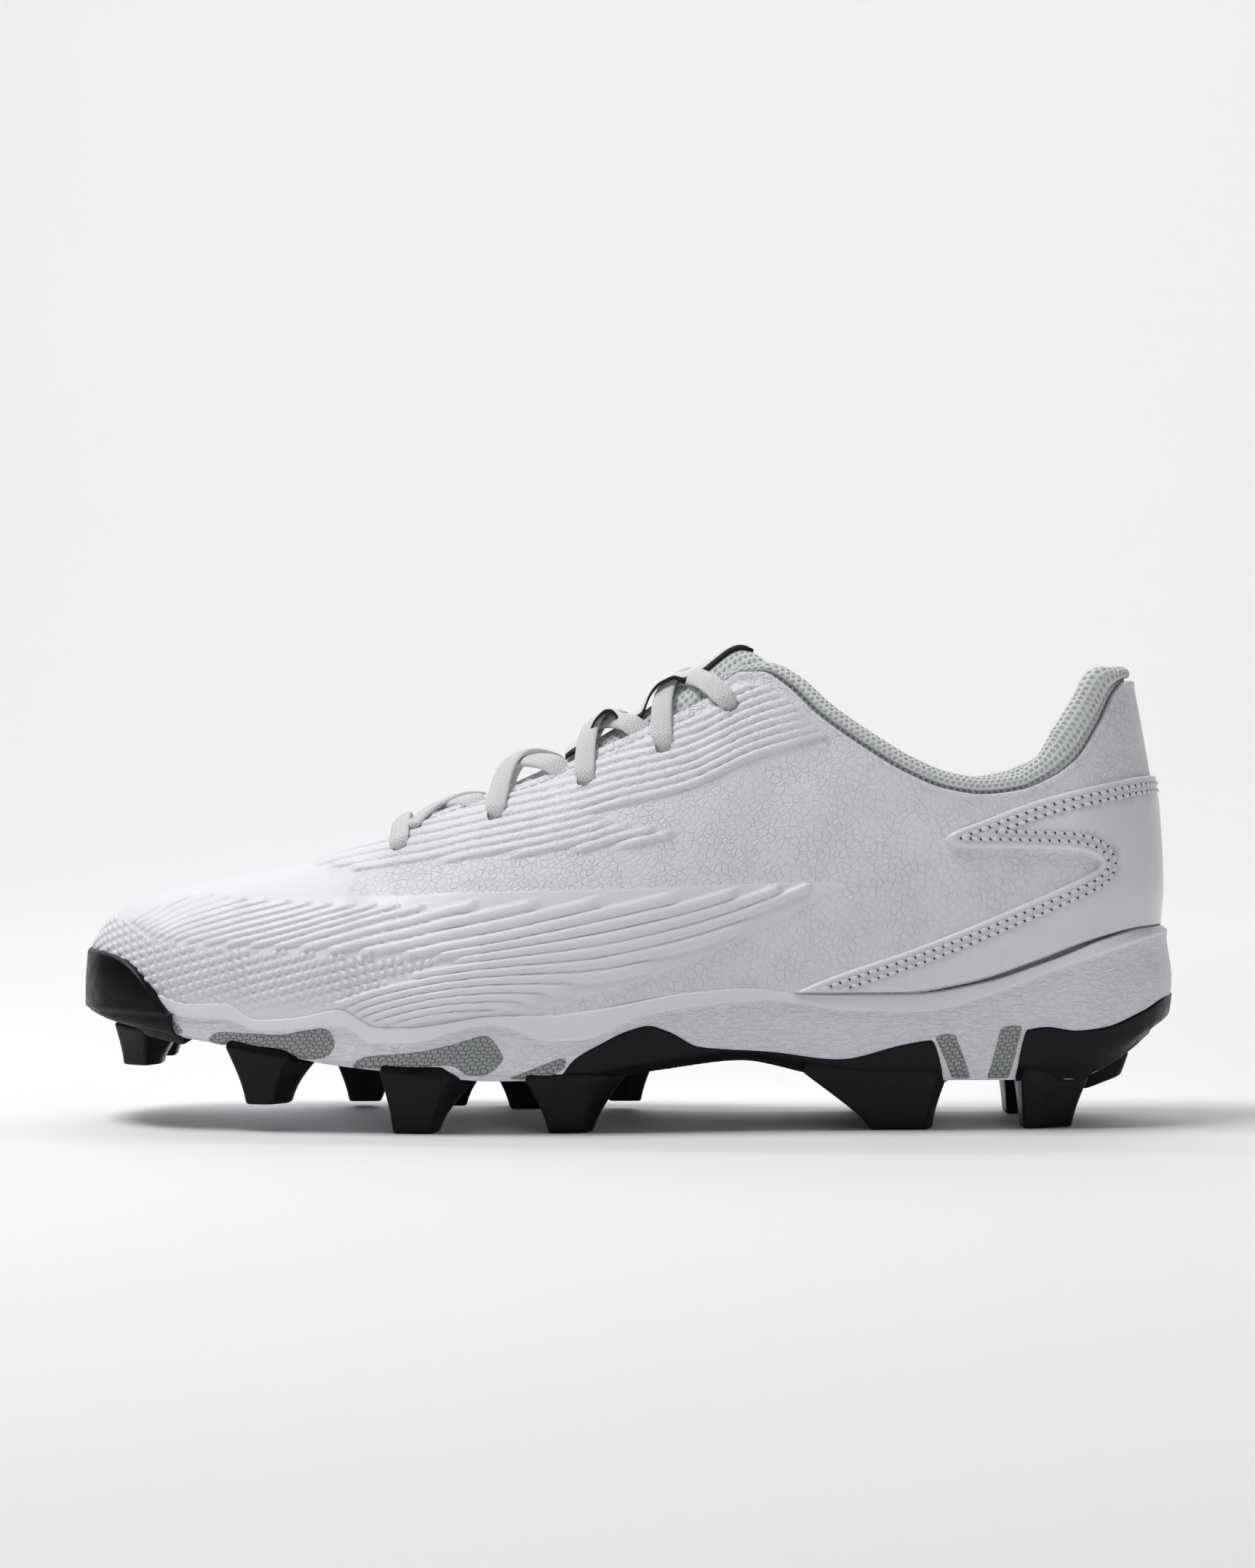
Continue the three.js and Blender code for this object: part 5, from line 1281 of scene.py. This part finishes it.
def insolePiece():
    rows, lanes = 110, 40
    turn = np.linspace(0.04, 0.985, rows)
    z = heightZ(read(bottom, "bed", alongOf(turn))) + shoe["gap"] + shoe["insoleThick"]
    edges = []
    for side in (-1, 1):
        inside = np.where(z > biteZ(alongOf(turn)), riseAt(turn, side, z), 0)
        wallIn = shellPoint(turn, side, inside, -shoe["wall"] - 0.6 + 0 * turn)
        wallIn[:, 2] = z
        edges.append(wallIn)
    share = np.linspace(0, 1, lanes)[None, :, None]
    points = mix(edges[0][:, None], edges[1][:, None], share)
    dish = 1.6 * (2 * np.abs(np.linspace(0, 1, lanes) - 0.5)) ** 4
    points[..., 2] += dish - 0.8
    uv = points[..., :2]
    piece = build("insole_cloth", points.reshape(-1, 3), gridFaces(rows, lanes), insoleCloth, "insole", uv.reshape(-1, 2))
    thicken(piece, 3.2)


def thicken(piece, thick):
    solid = piece.modifiers.new("thickness", "SOLIDIFY")
    solid.thickness = thick * mm
    solid.offset = -1


insolePiece()


# Sole: white carrier, grey inlays, black plates and studs

soleLook = {"columns": 300, "rim": 10, "step": 8, "wall": 22, "under": 18, "proud": 0.35, "round": 0.7}


def carrierPiece():
    turn = np.linspace(0, 1, soleLook["columns"])
    down = np.concatenate([
        np.linspace(0, 0.06, 6)[:-1], np.linspace(0.06, 0.28, soleLook["rim"])[:-1],
        np.linspace(0.28, 0.38, soleLook["step"])[:-1], np.linspace(0.38, 0.82, soleLook["wall"])[:-1],
        np.linspace(0.82, 1, 10)[:-1], np.linspace(1, 2, soleLook["under"])])
    halves, grains = [], []
    for side in (-1, 1):
        points = solePoint(turn[:, None], side, down[None, :])
        top = planPoint(turn, side, 6.5 + 0 * turn)
        topRow = np.concatenate([top, soleZ(turn, 0 * turn)[:, None]], 1)
        pinch = smooth(0, 0.03, turn) * smooth(1, 0.97, turn)
        topRow[:, :2] = mix(points[:, 0, :2], topRow[:, :2], pinch[:, None])
        points = np.concatenate([topRow[:, None], points], 1)
        textured = smooth(0.32, 0.36, np.concatenate([[0], down]))[None, :] + 0 * turn[:, None]
        halves.append(points if side < 0 else points[:, ::-1][:, 1:])
        grains.append(textured if side < 0 else textured[:, ::-1][:, 1:])
    points = np.concatenate(halves, 1)
    grain = np.concatenate(grains, 1)
    rows, columns = points.shape[:2]
    piece = build("sole_carrier", points.reshape(-1, 3), gridFaces(rows, columns), soleWhite, "sole",
                  fields={"grain": grain.ravel()})
    weld(piece, 0.00001)


print("sole")
carrierPiece()


def rounded(away, proud, sunk=0.3):  # height of a patch above what it lies on, round at its border
    share = np.clip(away / soleLook["round"], 0, 1)
    return -sunk + (proud + sunk) * np.sqrt(np.maximum(1 - (1 - share) ** 2, 0))


def lengthsDown(points):  # length along each row of a grid
    steps = np.linalg.norm(np.diff(points, axis=1), axis=-1)
    return np.concatenate([np.zeros((len(points), 1)), np.cumsum(steps, 1)], 1)


def crowdedEnds(count):  # 0 to 1 with more places near both ends
    t = np.linspace(0, 1, count)
    return mix(t, t * t * (3 - 2 * t), 0.85)


def patch(parts, turn, side, down, proud):  # raised patch over the sole's surface, on a grid of places
    flat = solePoint(turn, side, down, 0 * turn)
    across = lengthsDown(flat)
    total = across[:, -1:]
    alongRun = lengthsDown(np.swapaxes(flat, 0, 1)).T
    away = np.minimum(np.minimum(across, total - across), np.minimum(alongRun, alongRun[-1:] - alongRun))
    points = solePoint(turn, side, down, rounded(away, proud))
    uv = np.stack([alongRun.mean(1, keepdims=True) + 0 * across, across], -1)
    parts.add(points, gridFaces(*turn.shape), uv)


inlayRows = {
    "toe": ((0.081, 0.128, 0.115), (0.086, 0.152, 0.108), (0.096, 0.142, 0.108), (0.104, 0.122, 0.112)),
    "front": ((0.128, 0.1, 0.093), (0.138, 0.118, 0.085), (0.166, 0.117, 0.084), (0.195, 0.115, 0.079),
              (0.213, 0.124, 0.056), (0.234, 0.13, 0.062), (0.242, 0.108, 0.085)),
    "ball": ((0.258, 0.045, 0.037), (0.27, 0.066, 0.036), (0.314, 0.078, 0.041), (0.345, 0.095, 0.045),
             (0.36, 0.107, 0.022), (0.378, 0.115, 0.026), (0.39, 0.075, 0.055)),
    "leaf": ((0.398, 0.019, 0.013), (0.409, 0.031, 0.012), (0.427, 0.05, 0.016), (0.442, 0.064, 0.034),
             (0.446, 0.058, 0.048)),
}
wedges = {
    "wedge_front": {"topFront": 0.772, "topBack": 0.791, "footFront": 0.789, "footBack": 0.806, "top": 0.108},
    "wedge_back": {"topFront": 0.831, "topBack": 0.851, "footFront": 0.82, "footBack": 0.84, "top": 0.127},
}


def onSole(places, side, offset):  # point of the sole's side at X and Z
    x, z = places[:, 0], places[:, 1]
    along = alongX(x)
    for _ in range(4):
        turn = turnOf(along)
        down = downAt(turn, z)
        along = np.clip(along + (x - solePoint(turn, side, down)[:, 0]) / shoe["length"], 0.001, 0.999)
    return solePoint(turn, side, down, offset)


def inlay(name, knots, side, sharp=False):
    knots = np.stack([lengthX(knots[:, 0]), heightZ(knots[:, 1])], 1)
    if sharp:
        outline = evenly(np.concatenate([roundCorners(knots, 0.8), roundCorners(knots, 0.8)[:1]]), 161)[:-1]
    else:
        outline = closedLine(knots, 150)
    centre = outline.mean(0)
    tangent = np.roll(outline, -1, 0) - np.roll(outline, 1, 0)
    inward = np.stack([-tangent[:, 1], tangent[:, 0]], 1)
    inward /= np.maximum(np.linalg.norm(inward, axis=1, keepdims=True), 1e-6)
    area = (outline[:, 0] * np.roll(outline[:, 1], -1) - np.roll(outline[:, 0], -1) * outline[:, 1]).sum()
    inward *= np.sign(area)
    closed = np.concatenate([outline, outline[:1]])
    rings = []
    for depth in (0.08, 0.2, 0.38, 0.6):
        ring = outline + inward * depth
        rings.append(ring[(distanceTo(closed, ring) > depth * 0.9) & insideOf(outline, ring)])
    low, high = outline.min(0), outline.max(0)
    inner = np.stack(np.meshgrid(np.arange(low[0], high[0], 0.8), np.arange(low[1], high[1], 0.8)), -1).reshape(-1, 2)
    inner = inner[insideOf(outline, inner)]
    inner = inner[distanceTo(closed, inner) > 0.95]
    points = np.concatenate([outline] + rings + [inner])
    made = delaunay_2d_cdt([Vector(p) for p in points.tolist()], [], [list(range(len(outline)))], 1, 1e-4)
    places = np.array([tuple(p) for p in made[0]])
    offset = rounded(distanceTo(closed, places), 0.35, 0.3)
    parts = Parts()
    parts.add(onSole(places, side, offset), [list(f) for f in made[2]], places)
    parts.made(name + "_scales", inlayGrey, name)


def inlays():
    for side, label in ((-1, "outer"), (1, "inner")):
        for name, rows in inlayRows.items():
            node = f"inlay_{label}_{name}"
            if side < 0 or name in ("front", "ball"):
                top = [(along, high) for along, high, _ in rows]
                foot = [(along, low) for along, _, low in rows]
                inlay(node, np.array(top + foot[::-1]), side)
        for name, w in wedges.items():
            corners = np.array([
                (w["topFront"], w["top"]), ((w["topFront"] + w["topBack"]) / 2, w["top"] + 0.006),
                (w["topBack"], w["top"] + 0.003), (w["footBack"], 0.006), (w["footFront"], 0.006)])
            inlay(f"inlay_{label}_{name}", corners, side, True)


archPlateEdge = (
    (0.432, -0.02), (0.439, 0.02), (0.451, 0.062), (0.473, 0.096), (0.498, 0.127), (0.516, 0.138),
    (0.534, 0.124), (0.562, 0.087), (0.627, 0.073), (0.685, 0.056), (0.743, 0.09), (0.768, 0.1), (0.787, -0.02))
heelPlateEdge = (
    (0.846, -0.02), (0.848, 0.06), (0.855, 0.124), (0.873, 0.13), (0.899, 0.121), (0.926, 0.127),
    (0.965, 0.163), (0.989, 0.192), (1.03, 0.2))
bumperEdge = (
    (-0.03, 0.3), (0.015, 0.299), (0.032, 0.292), (0.048, 0.275), (0.06, 0.248), (0.072, 0.208),
    (0.078, 0.186), (0.09, 0.159))
studColumns = "side front crease back tipFront tipCrease tipBack edge reach tip"
studRows = {
    "toe_outer": (-1, 0.036, 0.066, 0.092, 0.043, 0.066, 0.077, 0.06, 0.17, 1.24),
    "toe_inner": (1, 0.036, 0.066, 0.092, 0.043, 0.066, 0.077, 0.06, 0.17, 1.24),
    "outer_front": (-1, 0.144, 0.2, 0.222, 0.161, 0.184, 0.2, 0.01, 0.19, 0.55),
    "outer_ball": (-1, 0.282, 0.34, 0.368, 0.293, 0.328, 0.334, 0.01, 0.19, 0),
    "inner_front": (1, 0.215, 0.27, 0.3, 0.235, 0.258, 0.266, 0.02, 0.19, 0.15),
    "inner_ball": (1, 0.366, 0.404, 0.424, 0.388, 0.412, 0.42, 0.02, 0.19, 0),
    "centre": (1, 0.3, 0.34, 0.37, 0.328, 0.346, 0.352, 0.4, 0.15, 0.28),
    "outer_arch": (-1, 0.41, 0.465, 0.5, 0.43, 0.462, 0.47, 0.02, 0.18, 0),
    "inner_arch": (1, 0.455, 0.505, 0.53, 0.482, 0.506, 0.513, 0.02, 0.17, 0.2),
    "outer_heel_front": (-1, 0.655, 0.775, 0.785, 0.716, 0.766, 0.773, 0.02, 0.17, 0),
    "inner_heel_front": (1, 0.67, 0.775, 0.785, 0.722, 0.766, 0.773, 0.02, 0.17, 0),
    "outer_heel": (-1, 0.85, 0.86, 0.915, 0.854, 0.866, 0.9, 0.025, 0.2, 0),
    "inner_heel": (1, 0.85, 0.86, 0.915, 0.854, 0.866, 0.9, 0.025, 0.2, 0),
}
studs = {name: dict(zip(studColumns.split(), row)) for name, row in studRows.items()}


def grown(points, margin):
    before, after = np.roll(points, 1, 0), np.roll(points, -1, 0)
    run = after - before
    run /= np.linalg.norm(run, axis=1, keepdims=True)
    area = (points[:, 0] * after[:, 1] - after[:, 0] * points[:, 1]).sum()
    return points + np.stack([run[:, 1], -run[:, 0]], 1) * np.sign(area) * margin


def roundCorners(points, size, steps=5):
    before, after = np.roll(points, 1, 0), np.roll(points, -1, 0)
    out = []
    for corner, a, b in zip(points, before, after):
        start = corner + (a - corner) / np.linalg.norm(a - corner) * size
        end = corner + (b - corner) / np.linalg.norm(b - corner) * size
        t = np.linspace(0, 1, steps)[:, None]
        out.append((1 - t) ** 2 * start + 2 * t * (1 - t) * corner + t ** 2 * end)
    return np.concatenate(out)


def stud(parts, row):  # grows out of the wall and the underside, hollowed a little towards its tip
    width = shoe["ballWidth"]

    def edgeY(along):
        return (read(plan, "centre", along, True) + row["side"] * read(plan, "half", along, True)) * width

    corners = []
    for front, crease, back, slope in (
            (row["front"], row["crease"], row["back"], 0),
            (row["tipFront"], row["tipCrease"], row["tipBack"], 0.045)):
        outer = edgeY(front) - row["side"] * (row["edge"] + slope) * width
        creaseY = edgeY(crease) - row["side"] * (row["edge"] + slope) * width
        inner = edgeY(front) - row["side"] * (row["edge"] + slope + row["reach"] - slope * 1.6) * width
        corners.append(np.array([
            (lengthX(front), outer), (lengthX(crease), creaseY), (lengthX(back), mix(creaseY, inner, 0.45)),
            (lengthX(back), inner), (lengthX(front), inner)], float))
    tip = row["tip"] * shoe["studHeight"]
    rings = []
    for down, margin in ((-0.6, -1.2), (-0.3, -0.5), (0.0, -0.08), (0.08, 0), (0.2, 0), (0.34, 0), (0.5, 0), (0.66, 0),
                         (0.82, 0), (0.93, 0), (0.965, -0.1), (0.988, -0.3), (1, -0.7)):
        drawn = 1 - (1 - max(down, 0)) ** 1.45
        outline = roundCorners(grown(mix(corners[0], corners[1], drawn), margin), 1.4)
        along = alongX(outline[:, :1])
        under = heightZ(read(bottom, "under", along))
        wall = heightZ(read(band, "up", along)) - under
        z = mix(under, tip, down) if down >= 0 else under - down * 0.5 * wall
        rings.append(np.concatenate([outline, z], 1))
    flatTip = rings[-1].mean(0)
    rings.append(flatTip + (rings[-1] - flatTip) * (0.02, 0.02, 1))
    parts.add(np.array(rings), gridFaces(len(rings), len(rings[0]), True))


def rearLug(parts):
    rings = []
    half = 0.13 * shoe["ballWidth"]
    for down, margin in ((-0.4, -1.2), (-0.1, -0.4), (0, -0.1), (0.12, 0), (0.3, 0), (0.6, 0), (0.9, 0), (0.97, -0.2), (1, -0.7)):
        drawn = np.clip(down, 0, 1)
        front = lengthX(mix(0.902, 0.915, drawn))
        back = lengthX(mix(0.956, 0.95, drawn))
        wide = half * mix(1.3, 1, drawn)
        outline = np.array([(front, -wide), (back, -wide * 0.8), (back, wide * 0.8), (front, wide)], float)
        outline = roundCorners(grown(outline, margin), 2.0)
        under = heightZ(read(bottom, "under", alongX(outline[:, :1])))
        tip = 0.7 * shoe["studHeight"] + (outline[:, :1] - lengthX(0.915)) * 0.35
        z = mix(under, tip, down) if down >= 0 else under - down * 9
        rings.append(np.concatenate([outline, z], 1))
    rings.append(rings[-1].mean(0) + (rings[-1] - rings[-1].mean(0)) * (0.02, 0.02, 1))
    parts.add(np.array(rings), gridFaces(len(rings), len(rings[0]), True))


def plate(parts, edgeRows, first, last):  # black skin over the wall's foot and the underside
    top = line(*edgeRows)
    columns = 120
    along = mix(first, min(last, 0.9995), crowdedEnds(columns))
    turn = turnOf(along)
    start = downAt(turn, heightZ(top(along)))
    start = np.minimum(start, 1.0)
    share = crowdedEnds(64)
    turns, sides, downs = [], [], []
    for side in (-1, 1):
        run = mix(start[:, None], 2.0, share[None, :] ** 0.8)
        run = run if side < 0 else run[:, ::-1]
        turns.append(turn[:, None] + 0 * run)
        sides.append(0 * run + side)
        downs.append(run)
    points, lengths = [], []
    for t, s, d in zip(turns, sides, downs):
        points.append(solePoint(t, s[0, 0], d, 0 * d))
    flat = np.concatenate(points, 1)
    across = lengthsDown(flat)
    alongRun = lengthsDown(np.swapaxes(flat, 0, 1)).T
    ends = alongRun if last >= 1 else np.minimum(alongRun, alongRun[-1:] - alongRun)
    away = np.minimum(np.minimum(across, across[:, -1:] - across), ends)
    raised = rounded(away, soleLook["proud"])
    half = share.size
    skins = [solePoint(t, s[0, 0], d, raised[:, k * half:(k + 1) * half])
             for k, (t, s, d) in enumerate(zip(turns, sides, downs))]
    parts.add(np.concatenate(skins, 1), gridFaces(columns, half * 2), np.stack([alongRun, across], -1))


def bumper(parts):  # cap over the toe of upper and sole, down to the underside
    last, offset = 0.09, shoe["gap"] + shoe["bumperWall"]
    signed = mix(-1, 1, crowdedEnds(141))
    turn = np.abs(signed) * turnOf(last)
    side = np.where(signed < 0, -1.0, 1.0)
    along = alongOf(turn)
    ceiling, foot = heightZ(line(*bumperEdge)(along)), biteZ(along)
    under = heightZ(read(bottom, "under", along)) - offset
    rows = []
    for share in mix(0, 1, crowdedEnds(44)):
        z = mix(ceiling, under, share)
        place = np.clip(downAt(turn, np.minimum(z, foot - 1)), 0.3, 1)
        inset = read(soleSide, "inset", place) * shoe["ballWidth"]
        edgeIn = 1.6 * np.clip(1 - (z - under) / 3, 0, 1) ** 2
        low = planPoint(turn, side, inset + edgeIn - offset)
        high = shellPoint(turn, side, np.where(z > foot, riseAt(turn, side, z), 0), offset + 0 * turn)
        blend = smooth(-2.5, 6.5, z - foot)
        lip = 0.9 * np.clip(1 - (ceiling - z) / 1.1, 0, 1) ** 2
        x = mix(low[:, 0], high[:, 0], blend)
        y = mix(low[:, 1], high[:, 1], blend)
        inward = np.stack([x * 0.2, y], -1)
        inward /= np.maximum(np.linalg.norm(inward, axis=-1, keepdims=True), 1e-6)
        rows.append(np.stack([x - inward[:, 0] * lip, y - inward[:, 1] * lip, z], -1))
    topRow = rows[0] - np.stack([-np.abs(rows[0][:, 0]) * 0 - 1.3, np.sign(rows[0][:, 1]) * 0.9, 0.5 + 0 * turn], -1)
    centre = read(plan, "centre", along, True) * shoe["ballWidth"]
    for share in (0.25, 0.6, 1.0):
        rows.append(np.stack([rows[43][:, 0], mix(rows[43][:, 1], centre, share), under], -1))
    full = np.stack([topRow] + rows, 1)
    ends = []
    for pick in (0, -1):
        face = full[pick].copy()
        face[:, 0] += 0.3
        face[:, 1] -= np.sign(face[:, 1]) * 0.35
        inner = face.copy()
        inner[:, 1] -= np.sign(face[:, 1]) * 2.2
        ends.append((face, inner))
    grid = np.concatenate([ends[0][1][None], ends[0][0][None], full, ends[1][0][None], ends[1][1][None]])
    parts.add(grid, gridFaces(*grid.shape[:2]))


def blackPieces():
    groups = {
        "arch_plate": ("outer_arch", "inner_arch", "outer_heel_front", "inner_heel_front"),
        "heel_plate": ("outer_heel", "inner_heel"),
        "toe_bumper": ("toe_outer", "toe_inner"),
    }
    for node, names in groups.items():
        parts = Parts()
        if node == "arch_plate":
            plate(parts, archPlateEdge, 0.436, 0.786)
        elif node == "heel_plate":
            plate(parts, heelPlateEdge, 0.8465, 1)
            rearLug(parts)
        else:
            bumper(parts)
        for name in names:
            stud(parts, studs[name])
        piece = parts.made(node + "_moulded", soleBlack, node)
        weld(piece, 0.00001)
    for name in ("outer_front", "outer_ball", "inner_front", "inner_ball", "centre"):
        parts = Parts()
        stud(parts, studs[name])
        piece = parts.made(f"stud_{name}_moulded", soleBlack, f"stud_{name}")
        weld(piece, 0.00001)


print("inlays, plates and studs")
inlays()
blackPieces()


# Studio: pale floor that sweeps up behind, soft light from above, level camera at the outer side

studio = {
    "distance": 1000, "height": 92, "focal": 5000, "frame": (1725, 2156),
    "floor": colour(247, 247, 247), "key": 11.9, "fill": 2.6, "back": 1.5, "world": 0.14, "wall": 48,
}


def floorPiece():
    f = Finish("pale_floor", {"Base Color": studio["floor"], "Specular IOR Level": 0.2})
    f.feed("Roughness", f.noise(3, 1).ramp(0.3, 0.7, 0.6, 0.7))
    xs = np.linspace(-4, 4, 9)
    bend = [(-3.0, 0.0), (1.4, 0.0)] + [
        (1.4 + 1.1 * math.sin(a), 1.1 - 1.1 * math.cos(a)) for a in np.linspace(0.1, math.pi / 2, 14)] + [(2.5, 4.0)]
    points = np.array([(x, y, z) for y, z in bend for x in xs]) / mm
    mesh = bpy.data.meshes.new("floor")
    mesh.from_pydata((points * mm).tolist(), [], gridFaces(len(bend), len(xs)).tolist())
    mesh.polygons.foreach_set("use_smooth", [True] * len(mesh.polygons))
    mesh.materials.append(f.material)
    floor = bpy.data.objects.new("floor", mesh)
    bpy.context.scene.collection.objects.link(floor)


def softbox(name, place, size, watts, target=(0, 0, 0.04)):
    light = bpy.data.lights.new(name, "AREA")
    light.shape, light.size, light.size_y, light.energy = "RECTANGLE", size[0], size[1], watts
    lamp = bpy.data.objects.new(name, light)
    lamp.location = place
    lamp.rotation_euler = (Vector(target) - Vector(place)).to_track_quat("-Z", "Y").to_euler()
    bpy.context.scene.collection.objects.link(lamp)


def stageAll():
    scene = bpy.context.scene
    scene.view_settings.view_transform = "Standard"
    floorPiece()
    softbox("key", (-0.5, -0.16, 1.28), (0.7, 0.4), studio["key"])
    softbox("fill", (0.8, -1.5, 0.5), (1.2, 0.9), studio["fill"])
    softbox("back", (0.1, 1.1, 1.0), (2.0, 0.7), studio["back"])
    softbox("wall", (0, 1.5, 2.4), (4.5, 0.5), studio["wall"], (0, 2.6, 0.6))
    world = bpy.data.worlds.new("studio")
    scene.world = world
    world.use_nodes = True
    sky = next(n for n in world.node_tree.nodes if n.type == "BACKGROUND")
    sky.inputs["Color"].default_value = (1, 1, 1, 1)
    sky.inputs["Strength"].default_value = studio["world"]
    camera = bpy.data.cameras.new("camera")
    camera.sensor_width = 36
    camera.lens = camera.sensor_width * studio["focal"] / max(studio["frame"])
    camera.clip_start, camera.clip_end = 0.05, 30
    eye = bpy.data.objects.new("camera", camera)
    eye.location = (0, -studio["distance"] * mm, studio["height"] * mm)
    eye.rotation_euler = (math.pi / 2, 0, 0)
    scene.collection.objects.link(eye)
    scene.camera = eye


print("studio")
stageAll()
